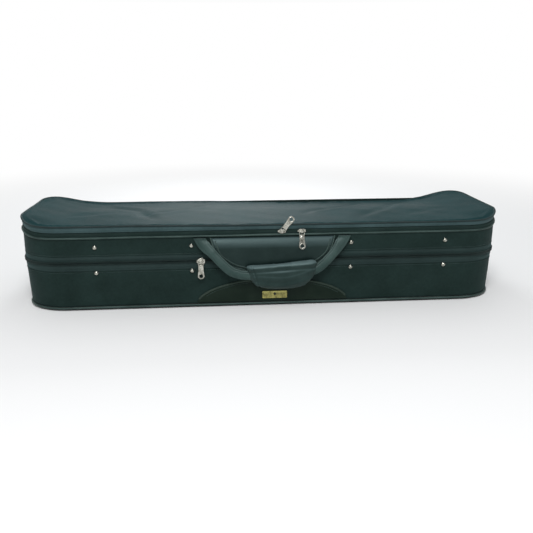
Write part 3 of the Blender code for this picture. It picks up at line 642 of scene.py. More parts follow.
MATERIALS = {
    "nylon": fabric("nylon_wall", (0.004, 0.013, 0.011), (0.013, 0.029, 0.026), WEAVE, 0.68, 0.03,
                    gloss=0.12),
    # The pocket's top is the walls' nylon painted lighter and more teal: painted light where the top faces the
    # lamps.
    "nylon_top": fabric("nylon_panel", (0.007, 0.027, 0.029), (0.02, 0.054, 0.058), WEAVE, 0.46, 0.03,
                        mottled=14.0, gloss=0.03),
    # The gusset is the same nylon painted lighter again: painted light on the puffed strip.
    "gusset": fabric("nylon_gusset", (0.023, 0.048, 0.05), (0.05, 0.09, 0.094), WEAVE, 0.6, 0.05),
    "seam_roll": fabric("panel_seam_roll", (0.009, 0.018, 0.018), (0.02, 0.033, 0.033), WEAVE, 0.6, 0.1),
    "zip_tape": fabric("zip_tape_cloth", (0.008, 0.019, 0.018), (0.02, 0.038, 0.036), 0.0008, 0.72, 0.1,
                       depth=0.00015),
    "coil": fabric("zip_coil", (0.0075, 0.016, 0.015), (0.016, 0.03, 0.028), 0.0006, 0.45, 0.0,
                   depth=0.00005),
    "thread": fabric("thread", (0.03, 0.05, 0.047), (0.055, 0.085, 0.08), 0.0004, 0.6, 0.1, depth=0.00005),
    "foam_core": fabric("foam_board", (0.06, 0.06, 0.065), (0.1, 0.1, 0.105), 0.003, 0.9, 0.0,
                        (0.5, 0.5, 0.5), 0.0003, 60.0),
    "ribbon": fabric("ribbon_cloth", (0.01, 0.012, 0.024), (0.028, 0.032, 0.056), 0.0007, 0.55, 0.3,
                     (0.6, 0.65, 0.8), 0.00012),
    "piping": leather("piping_leatherette", (0.022, 0.038, 0.034), (0.046, 0.072, 0.065), 0.42, 1700.0),
    # The last colour given to this leatherette (the flap), the grip and the strap is a painted highlight for their
    # up-facing faces.
    "leatherette": leather("grained_leatherette", (0.0045, 0.012, 0.011), (0.0105, 0.021, 0.0195), 0.4,
                           wear_and_highlight=(0.04, 0.064, 0.066)),
    # The patch is the flap's leatherette painted darker: painted shade low on the front.
    "patch": leather("patch_leatherette", (0.004, 0.009, 0.005), (0.01, 0.017, 0.011), 0.5, gloss=0.16),
    "patch_roll": leather("patch_piping_leatherette", (0.018, 0.029, 0.022), (0.036, 0.05, 0.04), 0.5,
                          1700.0, gloss=0.2),
    # Its last colour is a painted highlight for up-facing faces.
    "grip": leather("grip_leatherette", (0.0075, 0.0185, 0.0165), (0.0185, 0.035, 0.0325), 0.4, 1300.0,
                    gloss=0.28, wear_and_highlight=(0.062, 0.094, 0.096)),
    # Its last colour is a painted highlight for up-facing faces.
    "strap": leather("strap_leatherette", (0.016, 0.033, 0.03), (0.038, 0.066, 0.06), 0.44, 1300.0,
                     wear_and_highlight=(0.055, 0.08, 0.076)),
    "moulding": leather("black_moulding", (0.012, 0.012, 0.012), (0.02, 0.02, 0.02), 0.38, 3000.0, 0.00003),
    "plush": plush("plush_lining", (0.01, 0.013, 0.04), (0.03, 0.036, 0.085)),
    "nickel": metal("nickel_plate", (0.56, 0.56, 0.5), (0.18, 0.18, 0.15), 0.24),
    "steel": metal("spring_steel", (0.5, 0.5, 0.5), (0.28, 0.28, 0.28), 0.38),
    "brass": metal("aged_brass", (0.46, 0.43, 0.15), (0.15, 0.14, 0.06), 0.34),
}


def dress(obj, finish, body, replaced=()):
    """Gives a piece its material and slot, the body it rides on and the CAD nodes it stands for."""
    obj.data.materials.clear()
    obj.data.materials.append(MATERIALS[finish])
    if body is not None:
        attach(obj, body)
    if replaced:
        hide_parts(*replaced)
    return obj


# ---------------------------------------------------------------- nylon walls

RIVETS = [(centre_of(f"{half}_rivet_{n}")[0], centre_of(f"{half}_rivet_{n}")[2])
          for half in ("body", "lid") for n in (1, 2, 3, 4)]


def pucker(x, y, z):
    """The dimple that each rivet pulls in the padded front."""
    total = np.zeros(np.shape(x))
    for rx, rz in RIVETS:
        r = np.hypot(x - rx, z - rz)
        turn = np.arctan2(z - rz, x - rx)
        dent = -0.001 * hump(r, 0.0065)
        folds = 0.00022 * np.cos(7 * turn + rx * 40) * hump(r - 0.008, 0.005)
        total += np.where(y < -HALF_Y + 0.004, dent + folds, 0.0)
    return total


def wall_shift(seed, rises):
    """Slack in the nylon, the dimples at its rivets, and the lid's taller ends."""
    def shift(x, y, z, s):
        s = np.broadcast_to(s, z.shape)
        waves = 0.00022 * ripple(s, z, 0.075, seed) + 0.00012 * ripple(s, z * 2, 0.023, seed + 3)
        share = np.clip((z - LID_Z[0]) / (LID_Z[1] - LID_Z[0]), 0.0, 1.0) if rises else 0.0
        return waves + pucker(x, y, z), share * end_rise(x, y)
    return shift


def hem(low, high, bulge_at_low, bulge_at_high):
    """The wall's outer face from low to high, turned under at each end with a line of stitching."""
    rows = max(6, int((high - low) / 0.0035))
    face = []
    if bulge_at_low:
        face += [(0.0012, low), (0.0004, low + 0.0001), (0.0, low + 0.0006), (0.0001, low + 0.0014),
                 (0.0007, low + 0.0019), (0.0005, low + 0.0025)]
        low += 0.0035
    else:
        face += [(0.0012, low), (0.0006, low + 0.0004)]
        low += 0.0012
    top = high - (0.0035 if bulge_at_high else 0.0012)
    face += [(0.0003, low + (top - low) * i / rows) for i in range(rows + 1)]
    if bulge_at_high:
        face += [(0.0005, high - 0.0025), (0.0007, high - 0.0019), (0.0001, high - 0.0014),
                 (0.0, high - 0.0006), (0.0004, high - 0.0001), (0.0012, high)]
    else:
        face += [(0.0006, high - 0.0004), (0.0012, high)]
    return face


STITCH_PITCH, STITCH_LENGTH, STITCH_RADIUS = 0.0036, 0.0026, 0.00028
SEAM_PITCH = 0.0033                        # stitches on the handle, flap and patch


def make_walls():
    """Both halves' nylon, padded over the board, with a stitched hem along each side of the zip."""
    run = Run(step=0.0035)
    body = sweep("body_nylon_wall", hem(*BODY_Z, False, True), run, wall_shift(1.0, False), leaned=True)
    dress(body, "nylon", "body", ("body_cover",))
    lid = sweep("lid_nylon_wall", hem(*LID_Z, True, False), run, wall_shift(4.0, True))
    dress(lid, "nylon", "lid", ("lid_cover",))
    for half, z in (("body", BODY_Z[1] - 0.0022), ("lid", LID_Z[0] + 0.0022)):
        points, along, outward = Run().spaced(STITCH_PITCH, 0.0004, z)
        if half == "body":
            points = lean(points)
        stitches = beads(half + "_hem_stitches", points, along, outward, STITCH_LENGTH, STITCH_RADIUS)
        dress(stitches, "thread", half)


def make_base():
    """The underside: board covered in nylon, with a rounded edge that meets the piping."""
    run = Run(step=0.012, corner_steps=20)
    rings = ((0.0026, BASE_TOP), (0.0022, BASE_TOP * 0.6), (0.0028, 0.0004), (0.004, 0.0), (0.012, 0.0))
    verts = lean(carried(rings, run).transpose(1, 0, 2).reshape(-1, 3))
    faces = grid_faces(len(rings), len(run.centre), False, True) + end_caps(len(rings), len(run.centre))
    dress(finished("base_nylon", verts, faces, 60.0), "nylon", "body", ("base_panel",))
    points, along, _ = Run().spaced(STITCH_PITCH, 0.009, 0.0003)
    down = np.tile((0.0, 0.0, -1.0), (len(points), 1))
    stitches = beads("base_stitches", lean(points), along, down, STITCH_LENGTH, STITCH_RADIUS, 0.8)
    dress(stitches, "thread", "body")


# ---------------------------------------------------------------- piping

def piping_path(run, z_of, wave, seed):
    """A cord's slightly wavy line round the outline, at the height z_of(x, y)."""
    flat = run.at(PIPING_INSET)
    z = z_of(flat[:, 0], flat[:, 1]) + wave * ripple(run.length, 0.0, 0.11, seed)
    normal = run.out()
    flat = flat + normal * (0.3 * wave * ripple(run.length, 0.0, 0.06, seed + 2))[:, None]
    return np.column_stack((flat, z))


def make_piping():
    """The three cords: round the base, the lid's top edge and the pocket's panel."""
    loop = Run()
    low = lean(piping_path(loop, lambda x, y: np.full_like(x, BASE_PIPING_Z), 0.00012, 2.0))
    high = piping_path(loop, lambda x, y: LID_PIPING_Z + end_rise(x, y), 0.0003, 5.0)
    top = piping_path(loop, lambda x, y: pocket_edge(x, y) - 0.0009, 0.00025, 9.0)
    for node_name, path, radius, body, finish in (("base_piping", low, 0.0016, "body", "piping"),
                                                  ("lid_piping", high, 0.0016, "lid", "piping"),
                                                  ("pocket_piping", top, 0.0014, "pocket", "seam_roll")):
        dress(tube(node_name + "_cord", path, radius, True, 14), finish, body, (node_name,))


# ---------------------------------------------------------------- zips

def make_zip(name, body, sewn, edge, teeth_at, inset, teeth_out, teeth_high, pitch, stop, rises=False):
    """Half a zip: a woven tape from its sewn side to its thicker edge, and the coil along that edge."""
    run = Run(stop=stop)
    leaned = body == "body"
    way = 1 if edge > sewn else -1
    width = abs(edge - sewn)
    ribs = ((0.0004, 0.0), (0.0002, 0.12), (0.0002, 0.3), (-0.0001, 0.36), (-0.0001, 0.5), (0.0003, 0.56))
    outer = [(inset + out, sewn + way * width * share) for out, share in ribs]
    outer += [(inset + 0.0003, edge - way * 0.0012), (inset - 0.0002, edge - way * 0.0009),
              (inset - 0.0002, edge)]
    back = [(inset + 0.0011, edge), (inset + 0.0011, sewn)]

    def lift(x, y):
        return end_rise(x, y) if rises else 0.0 * x

    def shift(x, y, z, s):
        return 0.0001 * ripple(np.broadcast_to(s, z.shape), z, 0.05, 6.0), lift(x, y)

    cloth = sweep(name + "_tape", outer + back, run, shift, leaned)
    dress(cloth, "zip_tape", body, (name,))
    points, along, outward = run.spaced(pitch, (inset + teeth_out) / 2 - 0.0001,
                                        lambda x, y: teeth_at + lift(x, y))
    if leaned:
        points = lean(points)
    up = unit(np.tile((0.0, 0.0, 1.0), (len(points), 1)) + along * 0.18)
    depth = (inset - teeth_out) / 2 + 0.0003
    coil = beads(name + "_coil", points, up, outward, teeth_high, pitch * 0.44, depth / (pitch * 0.44))
    dress(coil, "coil", body)


def make_zips():
    """The main zip between the halves, and the pocket's zip on the lid's top edge."""
    main = {"inset": 0.0002, "teeth_out": -0.0012, "teeth_high": 0.0026, "pitch": 0.0016,
            "stop": HINGE_X + 0.002}
    make_zip("main_zip_lower", "body", TAPE_LOW[0], TAPE_LOW[1] - 0.0004, SPLIT_Z - 0.0014, **main)
    make_zip("main_zip_upper", "lid", TAPE_HIGH[1] - 0.0026, TAPE_HIGH[0] + 0.0004, SPLIT_Z + 0.0014, **main)
    pocket = {"inset": 0.0016, "teeth_out": 0.0006, "teeth_high": 0.0017, "pitch": 0.0013,
              "stop": POCKET_STOP, "rises": True}
    below, above = POCKET_ZIP_Z - 0.0007, POCKET_ZIP_Z + 0.0007
    make_zip("pocket_zip_lower", "lid", LID_PANEL_TOP + 0.0001, below - 0.0002, below - 0.0008, **pocket)
    make_zip("pocket_zip_upper", "pocket", POCKET_ZIP_TOP, above + 0.0002, above + 0.0008, **pocket)


def make_hinge():
    """The fabric that joins the halves along the rear, with a soft groove along the hinge line; it is fixed to
    neither half.
    """
    run = Run(stop=HINGE_X, rear_only=True)
    low, high = TAPE_LOW[0] + 0.0002, TAPE_HIGH[1] - 0.0002
    rows = 18
    outer = []
    for i in range(rows + 1):
        t = i / rows
        z = low + (high - low) * t
        groove = 0.0011 * hump(z - SPLIT_Z, 0.0016)
        seam = 0.0005 * (hump(z - low - 0.0018, 0.0006) + hump(high - 0.0018 - z, 0.0006))
        outer.append((-0.0004 + groove + seam, z))
    inner = [(0.0008, z) for _, z in outer[::-1]]
    strip = sweep("rear_hinge_fabric", outer + inner, run, sharp=70.0)
    dress(strip, "nylon", None, ("hinge_tape_lower", "hinge_tape_upper"))
    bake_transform(strip)


# ---------------------------------------------------------------- music pocket

CREASES = (
    # from x, y to x, y on the panel, depth and half width: soft folds in the slack cloth
    (-0.215, -0.075, -0.07, 0.095, 0.0016, 0.01),
    (-0.155, -0.1, -0.285, 0.11, 0.0014, 0.012),
    (0.06, -0.06, 0.215, 0.105, 0.0018, 0.01),
    (0.15, -0.105, 0.285, 0.11, 0.0014, 0.012),
    (-0.01, -0.11, -0.06, 0.02, 0.0007, 0.014),
    (0.225, -0.085, 0.33, 0.0, 0.0009, 0.013),
    (-0.33, -0.06, -0.24, -0.02, 0.0008, 0.013),
)


def crease_sum(x, y):
    total = np.zeros(np.shape(x))
    for x0, y0, x1, y1, depth, wide in CREASES:
        dx, dy = x1 - x0, y1 - y0
        length = math.hypot(dx, dy)
        along = ((x - x0) * dx + (y - y0) * dy) / length
        across = ((x - x0) * -dy + (y - y0) * dx) / length
        fade = smooth(along / (0.25 * length)) * smooth((length - along) / (0.25 * length))
        bend = across - 0.006 * np.sin(along * 38.0)
        total += fade * (0.55 * depth * hump(bend + wide, wide) - depth * hump(bend, wide))
    return total


def row_half_length(y, inset):
    """Half length of the outline, moved in by inset, at y."""
    reach = CORNER - inset
    flat_x, flat_y = FLAT
    past = np.clip((np.abs(y) - flat_y) / reach[1], 0.0, 1.0)
    return flat_x + reach[0] * np.sqrt(1.0 - past ** 2)


def outline_grid(columns, rows, inset):
    """A grid whose rows fill the outline from end to end, closer together towards its edges."""
    v = np.linspace(-1.0, 1.0, rows)
    y = (HALF_Y - inset) * np.sin(v * np.pi / 2 * 0.999) / math.sin(math.pi / 2 * 0.999)
    u = np.linspace(-1.0, 1.0, columns)
    u = 0.75 * u + 0.25 * np.sin(u * np.pi / 2)
    half = row_half_length(y, inset)
    return half[:, None] * u[None, :], np.repeat(y[:, None], columns, axis=1)


def edge_distance(x, y, inset):
    """Distance from each point to the outline."""
    edge = Run(step=0.006).at(inset)
    flat = np.stack((x.ravel(), y.ravel()), axis=1)
    nearest = np.full(len(flat), 1e9)
    for chunk in np.array_split(edge, 8):
        nearest = np.minimum(nearest, np.linalg.norm(flat[:, None, :] - chunk[None], axis=2).min(axis=1))
    return nearest.reshape(x.shape)


def simulate(obj, pinned, frames, cap, pressure, gravity=0.0, shrink=0.0, stiffness=15.0):
    """Runs Blender's cloth on a piece and keeps the result, no point moving further than cap."""
    scene = bpy.context.scene
    start = np.array([v.co[:] for v in obj.data.vertices])
    cloth = obj.modifiers.new("cloth", "CLOTH")
    settings = cloth.settings
    wanted = {"quality": 6, "mass": 0.15, "tension_stiffness": stiffness, "compression_stiffness": stiffness,
              "shear_stiffness": stiffness / 2, "bending_stiffness": 0.4, "air_damping": 3.0,
              "shrink_min": shrink, "use_pressure": True, "uniform_pressure_force": pressure}
    for key, value in wanted.items():
        setattr(settings, key, value)
    settings.effector_weights.gravity = gravity
    if len(pinned):
        group = obj.vertex_groups.new(name="pinned")
        group.add([int(i) for i in pinned], 1.0, "REPLACE")
        settings.vertex_group_mass = "pinned"
    cloth.collision_settings.use_collision = False
    cloth.point_cache.frame_start = 1
    cloth.point_cache.frame_end = frames + 1
    for number in range(1, frames + 1):
        scene.frame_set(number)
    done = obj.evaluated_get(bpy.context.evaluated_depsgraph_get()).to_mesh()
    end = np.array([v.co[:] for v in done.vertices])
    obj.modifiers.remove(cloth)
    obj.vertex_groups.clear()
    scene.frame_set(1)
    move = end - start
    size = np.linalg.norm(move, axis=1)
    scale = np.minimum(1.0, cap / np.maximum(size, 1e-9))
    for vertex, place in zip(obj.data.vertices, start + move * scale[:, None]):
        vertex.co = place


def make_pocket_panel():
    """The pocket's top: slack nylon, crowned over the lid and drawn down along the rear seam."""
    columns, rows = 150, 58
    inset = 0.0006
    x, y = outline_grid(columns, rows, inset)
    d = edge_distance(x, y, inset)
    z = pocket_edge(x, y)
    z = z + 0.0022 * (1 - np.exp(-d / 0.022)) + 1.5 * crease_sum(x, y) * smooth(d / 0.03)
    z = z + 0.0005 * ripple(x, y * 1.3, 0.09, 3.0) * smooth(d / 0.02)
    z = z - 0.0016 * hump(d - 0.0036, 0.0016) - 0.0006 * hump(d, 0.0015)
    verts = np.stack((x, y, z), axis=-1).reshape(-1, 3)
    panel = finished("pocket_top_nylon", verts, grid_faces(rows, columns), 60.0)
    edge = np.nonzero(d.ravel() < 0.007)[0]
    simulate(panel, edge, frames=14, cap=0.0022, pressure=0.15, gravity=0.35, shrink=-0.012)
    modify(panel, "SOLIDIFY", thickness=0.001, offset=-1.0)
    dress(panel, "nylon_top", "pocket", ("pocket_panel",))


def make_gusset():
    """The pocket's side: a puffed strip of nylon above the zip; along the rear it meets the lid."""
    run = Run()
    rows = 12
    shares = [i / rows for i in range(rows + 1)]
    outer = [(0.0006 - 0.0009 * math.sin(math.pi * t) ** 0.8 + 0.0007 * hump(t - 0.14, 0.05), t)
             for t in shares]
    inner = [(0.0018, t) for t in shares[::-1]]

    def shift(x, y, t, s):
        at_rear = smooth((POCKET_STOP - np.abs(x)) / 0.02) * (y > 0)
        seam = POCKET_ZIP_TOP + 0.0002 + end_rise(x, y)
        floor = seam + (LID_PANEL_TOP + 0.0005 - seam) * at_rear
        top = np.maximum(pocket_edge(x, y) - 0.0006, floor + 0.0008)
        waves = 0.0002 * ripple(np.broadcast_to(s, t.shape), t * 0.01, 0.05, 8.0)
        return waves, floor + (top - floor) * t - t

    wall = sweep("pocket_gusset_nylon", outer + inner, run, shift, sharp=70.0)
    dress(wall, "gusset", "pocket", ("pocket_gusset",))


# ---------------------------------------------------------------- zip sliders and pulls

def make_slider(name, pull_lies=False):
    """A cast slider: boat-shaped plate, side flanges, and the bridge that the pull hangs in.

    The bridge runs up the slider, or along it where the pull lies sideways.
    """
    (x0, y0, z0), (x1, _, z1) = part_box(name)
    x, z = (x0 + x1) / 2, (z0 + z1) / 2
    half_x, half_z = (x1 - x0) / 2, (z1 - z0) / 2
    roof = -y0
    face = roof - 0.0033
    shares = ((-0.3, 0.92), (-1.0, 0.35), (-1.0, -0.35), (-0.3, -0.92),
              (0.35, -1.0), (1.0, -0.55), (1.0, 0.55), (0.35, 1.0))
    outline = [(u * half_x, v * half_z) for u, v in shares[::-1]]
    wing = curve_plate(name + "_wing", [outline], 0.0018, front_at(x, face - 0.0009, z), 0.0005, 3)
    crown = curve_plate(name + "_crown", [[(u * 0.55, v * 0.62) for u, v in outline]], 0.001,
                        front_at(x, face + 0.0001, z), 0.0004, 3)
    half = [(-0.0031, face - 0.0002), (-0.003, face + 0.0022), (-0.002, roof - 0.0006)]
    loop = half + [(0.0, roof - 0.00045)] + [(-u, out) for u, out in half[::-1]]
    if pull_lies:
        path, up = [(x + u, -out, z) for u, out in loop], (0, 0, 1)
    else:
        path, up = [(x, -out, z + u) for u, out in loop], (1, 0, 0)
    bridge = flat_bar(name + "_bridge", through(path, 4), 0.0026, 0.0009, up)
    dress(joined(name + "_cast", [wing, crown, bridge]), "nickel", name, (name,))


def flat_bar(name, path, width, thickness, side):
    """A bar of rounded rectangular section along a path that stays square to side."""
    side = np.array(side, float)
    path = np.asarray(path, float)
    along = np.gradient(path, axis=0)
    along = unit(along)
    normal = np.cross(along, side)
    normal = unit(normal)
    section = rounded_box(width / 2, thickness / 2, thickness * 0.4, thickness * 0.4, 3)
    verts = [p + side * u + n * v for p, n in zip(path, normal) for u, v in section]
    faces = grid_faces(len(path), len(section), False, True) + end_caps(len(path), len(section))
    return finished(name, verts, faces, 50.0)


def joined(name, objects):
    """Several shells as one object."""
    shape = bmesh.new()
    for obj in objects:
        shape.from_mesh(obj.data)
        bpy.data.objects.remove(obj, do_unlink=True)
    mesh = bpy.data.meshes.new(name)
    shape.to_mesh(mesh)
    shape.free()
    return linked(name, mesh)


PULL_LENGTH = 0.029


def make_pull(node_name, body, at, across, along):
    """A long flat pull: window at the bridge, waisted body with a raised rim, and a holed round end."""
    top, end, bar = 0.0047, 0.00525, 0.0006
    hub = PULL_LENGTH - end
    outline = [(-top + 0.0008, -bar), (top - 0.0008, -bar), (top, bar), (0.004, 0.009), (0.0041, 0.015)]
    outline += arc((0, hub), end, -14, 194, 22)
    outline += [(-0.0041, 0.015), (-0.004, 0.009), (-top, bar)]
    window = [(-0.0036, bar), (0.0036, bar), (0.0032, 0.0056), (-0.0032, 0.0056)]
    hole = arc((0, hub), 0.0029, 0, 345, 23)
    matrix = frame_of(across, along, at)
    plate = curve_plate(node_name + "_plate", [outline, window, hole], 0.0012, matrix, 0.00035, 3)
    groove = [(-0.0019, 0.0078), (0.0019, 0.0078), (0.0021, 0.0165), (-0.0021, 0.0165)]
    raised = curve_plate(node_name + "_raised", [groove], 0.0016, matrix, 0.0003, 2)
    rims = [arc((0, hub), radius, 0, 345, 23) for radius in (0.0042, 0.0031)]
    ring = curve_plate(node_name + "_ring", rims, 0.0016, matrix, 0.0003, 2)
    dress(joined(node_name + "_cast", [plate, raised, ring]), "nickel", body, (node_name,))


def make_sliders_and_pulls():
    """Four sliders and their pulls; the pull hidden under the flap lies along its slider."""
    for name in ("main_slider_left", "main_slider_right", "pocket_slider_left", "pocket_slider_right"):
        make_slider(name, name == "main_slider_right")
    places = {joint["name"]: joint.get("pos_m") for joint in frame["joints"]}
    tilt = math.radians(20.0)
    for name, across, along in (("main_pull_left", (1, 0, 0), (0, 0, -1)),
                                ("pocket_pull_right", (1, 0, 0), (0, -math.sin(tilt), -math.cos(tilt))),
                                ("pocket_pull_left", (0.788, 0, -0.615), (0.615, 0.03, 0.788))):
        make_pull(name, name, places[name + "_hinge"], across, along)
    x, _, z = centre_of("main_slider_right")
    y = centre_of("main_pull_right")[1]
    make_pull("main_pull_right", "main_slider_right", (x, y, z), (0, 0, 1), (1, 0, 0))


RIVET_HEAD = (
    # radius, height over the front, before scaling
    (0.0, 0.002), (0.0009, 0.00196), (0.0018, 0.00178), (0.0026, 0.0014), (0.0032, 0.00086),
    (0.00345, 0.00045), (0.0037, 0.0003), (0.0037, 0.0), (0.0032, -0.00015), (0.0008, -0.0002),
)
RIVET_SCALE = 0.88


def make_rivets():
    """Domed heads on the front, with a shank and a flat washer inside."""
    for half in ("body", "lid"):
        for number in (1, 2, 3, 4):
            name = f"{half}_rivet_{number}"
            x, _, z = centre_of(name)
            tail = -HALF_Y - span(name, Y)[1]
            shank = ((0.0008, tail + 0.0012), (0.003, tail + 0.0011), (0.0028, tail + 0.0004), (0.0, tail))
            profile = [(r * RIVET_SCALE, h) for r, h in RIVET_HEAD + shank]
            rivet = turned(name + "_domed", profile, front_at(x, HALF_Y, z), 32)
            dress(rivet, "nickel", half, (name,))


# ---------------------------------------------------------------- handle

STRAP_PATH = (
    # x, distance out of the centre plane, z
    (-0.1065, 0.1285, 0.1138), (-0.105, 0.1286, 0.11), (-0.097, 0.1318, 0.1),
    (-0.0895, 0.1352, 0.093), (-0.083, 0.1372, 0.086), (-0.0615, 0.1412, 0.0645),
    (-0.049, 0.142, 0.059), (-0.036, 0.142, 0.0562), (0.0, 0.142, 0.055),
    (0.04, 0.142, 0.0568), (0.066, 0.142, 0.0605), (0.08, 0.1412, 0.0655),
    (0.0925, 0.1392, 0.0765), (0.103, 0.136, 0.087), (0.109, 0.134, 0.094),
    (0.114, 0.1318, 0.101), (0.1205, 0.1286, 0.11), (0.122, 0.1285, 0.1138),
)
STRAP_HALF = 0.0074                        # half its width
STRAP_SEAM = 0.0048                        # from its middle line to each row of stitches


def strap_frames():
    """Points along the strap, with its width and outward directions; the ends are cut level."""
    path = through([(x, -out, z) for x, out, z in STRAP_PATH], 5)
    along = np.gradient(path, axis=0)
    along = unit(along)
    side = np.stack((along[:, 2], np.zeros(len(path)), -along[:, 0]), axis=1)
    level = np.sign(side[:, :1]) * np.array([[1.0, 0.0, 0.0]])
    share = smooth((path[:, 2] - 0.1) / 0.011)[:, None]
    side = unit(side) * (1 - share) + level * share
    side = unit(side)
    normal = np.cross(side, along)
    normal = unit(normal)
    normal *= -np.sign(normal[:, 1:2])
    return path, along, side, normal


def make_strap():
    """Leatherette folded over webbing: rolled edges, a channel of stitching inside each."""
    path, along, side, normal = strap_frames()
    edge, thick = STRAP_HALF - 0.0014, 0.0017
    face = [(u, thick + 0.001 - 0.0005 * hump(abs(u) - STRAP_SEAM, 0.0006) - 0.0013 * (u / edge) ** 2)
            for u in np.linspace(-edge, edge, 25)]
    right = arc((edge, 0), 0.0014, 62, -62, 6)
    back = [(u, -v) for u, v in face[::-1]]
    left = [(-u, -v) for u, v in right]
    section = face + right + back + left
    verts = []
    for i, (p, s, n) in enumerate(zip(path, side, normal)):
        flare = 1.0 + 0.34 * float(smooth((p[2] - 0.086) / 0.024))
        wave = 0.0003 * math.sin(i * 0.9) * hump(i - 22, 9.0)
        verts += [p + s * u * flare + n * (v + wave) for u, v in section]
    faces = grid_faces(len(path), len(section), False, True) + end_caps(len(path), len(section))
    dress(finished("handle_strap_leather", verts, faces, 60.0), "strap", "handle", ("handle_strap",))
    length = walked(path)
    places = np.arange(0.003, length[-1] - 0.003, 0.0034)
    for name, u in (("strap_stitches_outer", -STRAP_SEAM), ("strap_stitches_inner", STRAP_SEAM)):
        line = path + side * u + normal * (thick + 0.0002)
        points, direction, facing = (sampled(places, length, values) for values in (line, along, normal))
        dress(beads(name, points, direction, facing, 0.0024, 0.00026), "thread", "handle")


def lens(name, outline, rings, height, level):
    """A crowned closed form on the front over an outline, in rings that shrink towards its middle line.

    Each face stands height(d) from the level at distance d inside the edge.
    """
    count = len(outline)
    middle = outline.mean(axis=0)
    core_share = (0.55, 0.0)
    core = middle + (outline - middle) * core_share
    verts, faces = [], []
    for sign in (1, -1):
        for k in range(rings + 1):
            if sign < 0 and k == 0:
                continue
            t = 1 - math.cos(math.pi / 2 * k / rings)
            ring = outline * (1 - t) + core * t
            depth = np.linalg.norm(ring - outline, axis=1)
            verts += [FRONT @ Vector((u, v, level + sign * height(d))) for (u, v), d in zip(ring, depth)]
    for side in (0, rings * count):
        for k in range(rings):
            a = k * count + (side if k else 0)
            b = (k + 1) * count + side
            faces += [(a + i, a + (i + 1) % count, b + (i + 1) % count, b + i) for i in range(count)]
    return finished(name, verts, faces, 60.0)


GRIP_OUTLINE = (
    # x, z: upper left, down the left edge, along the belly, up the right edge, back along the fold
    (-0.037, 0.069), (-0.0335, 0.056), (-0.028, 0.043), (-0.02, 0.0335), (-0.004, 0.0292),
    (0.015, 0.0277), (0.042, 0.029), (0.058, 0.0335), (0.068, 0.042), (0.075, 0.055),
    (0.0775, 0.069), (0.0735, 0.0765), (0.056, 0.0757), (0.02, 0.0725), (-0.02, 0.0697),
)
GRIP_RAISE = 0.0035
GRIP_FRONT, GRIP_BACK = span("handle_grip", Y)


def make_grip():
    """The padded sleeve: folded over the strap along its top edge, stitched down its left side."""
    outline = []
    for a, b in zip(GRIP_OUTLINE, GRIP_OUTLINE[1:] + GRIP_OUTLINE[:1]):
        outline += [tuple(np.array(a) + (np.array(b) - np.array(a)) * i / 5) for i in range(5)]
    outline = np.array(outline) + (0.0, GRIP_RAISE)
    for _ in range(2):
        outline = (np.roll(outline, 1, axis=0) + 2 * outline + np.roll(outline, -1, axis=0)) / 4
    middle_y = (GRIP_FRONT + GRIP_BACK) / 2
    half = (GRIP_BACK - GRIP_FRONT) / 2 - 0.001

    def crown(d):
        return half * min(1.0, max(0.0, d) / 0.011) ** 0.45

    pad = lens("handle_grip_pad", outline, 9, crown, -middle_y)
    modify(pad, "REMESH", mode="VOXEL", voxel_size=0.0022)
    simulate(pad, [], frames=12, cap=0.0016, pressure=3.0, stiffness=12.0)
    modify(pad, "SUBSURF", levels=1, render_levels=1)
    places = np.array([v.co[:] for v in pad.data.vertices])
    for vertex, (x, y, z) in zip(pad.data.vertices, places):
        vertex.co.y = max(GRIP_FRONT - 0.0015, min(GRIP_BACK, y - grip_relief(x, z) * (y < middle_y)))
    pad.data.shade_smooth()
    dress(pad, "grip", "handle", ("handle_grip",))
    side = ((-0.0325, 0.0675), (-0.0293, 0.056), (-0.024, 0.0445), (-0.0172, 0.0362))
    belly = ((-0.0172, 0.0362), (-0.002, 0.0328), (0.015, 0.0315), (0.0405, 0.0328), (0.0555, 0.037),
             (0.064, 0.044))
    for name, line in (("grip_side_stitches", side), ("grip_belly_stitches", belly)):
        seam_on(pad, name, [(x, z + GRIP_RAISE) for x, z in line], "handle")


def grip_relief(x, z):
    """Folds on the grip's front: a roll along the top, a bound left edge and slack creases."""
    z = z - GRIP_RAISE
    top = 0.0708 + 0.058 * (x + 0.02)
    below = top - z
    roll = 0.0016 * hump(below - 0.0058, 0.0034) - 0.0012 * hump(below - 0.0125, 0.0026)
    left = (x + 0.026) - (0.066 - z) * 0.33
    bound = 0.0008 * hump(left + 0.0035, 0.0018) - 0.0012 * hump(left, 0.0013)
    slack = 0.00045 * math.sin((z - 0.1 * x) * 560.0 + 2.0 * math.sin(x * 60.0))
    slack *= float(smooth((below - 0.012) / 0.008))
    return roll + bound * (below > 0.002) + slack


def seam_on(obj, name, line, body):
    """A row of stitches laid on obj's front along a line of x, z points."""
    path = through([(x, 0.0, z) for x, z in line], 12)
    length = walked(path)
    centres, axes, outward = [], [], []
    bpy.context.view_layer.update()
    for place in np.arange(SEAM_PITCH / 2, length[-1], SEAM_PITCH):
        here, ahead = sampled([place, min(place + 0.0005, length[-1])], length, path)
        axis = Vector(ahead - here)
        hit, point, normal, _ = obj.ray_cast(Vector((here[0], -0.2, here[2])), Vector((0, 1, 0)))
        if hit and axis.length > 1e-9:
            centres.append(point + normal * 0.00005)
            axes.append((axis - normal * axis.dot(normal)).normalized())
            outward.append(normal)
    if centres:
        dress(beads(name, centres, axes, outward, 0.0023, 0.00027), "thread", body)


# ---------------------------------------------------------------- flap, patch and plate

FLAP_CENTRE = 0.008
FLAP_TOP = 0.1135
FLAP_FOOT = 0.05
FLAP_FACE = 0.1272                         # its outer face at the stitched top edge
FLAP_HALF = ((0.098, FLAP_TOP), (0.0925, 0.098), (0.085, 0.083), (0.0645, 0.0685), (0.047, 0.063),
             (0.034, 0.056), (0.018, 0.051), (0.0, FLAP_FOOT))


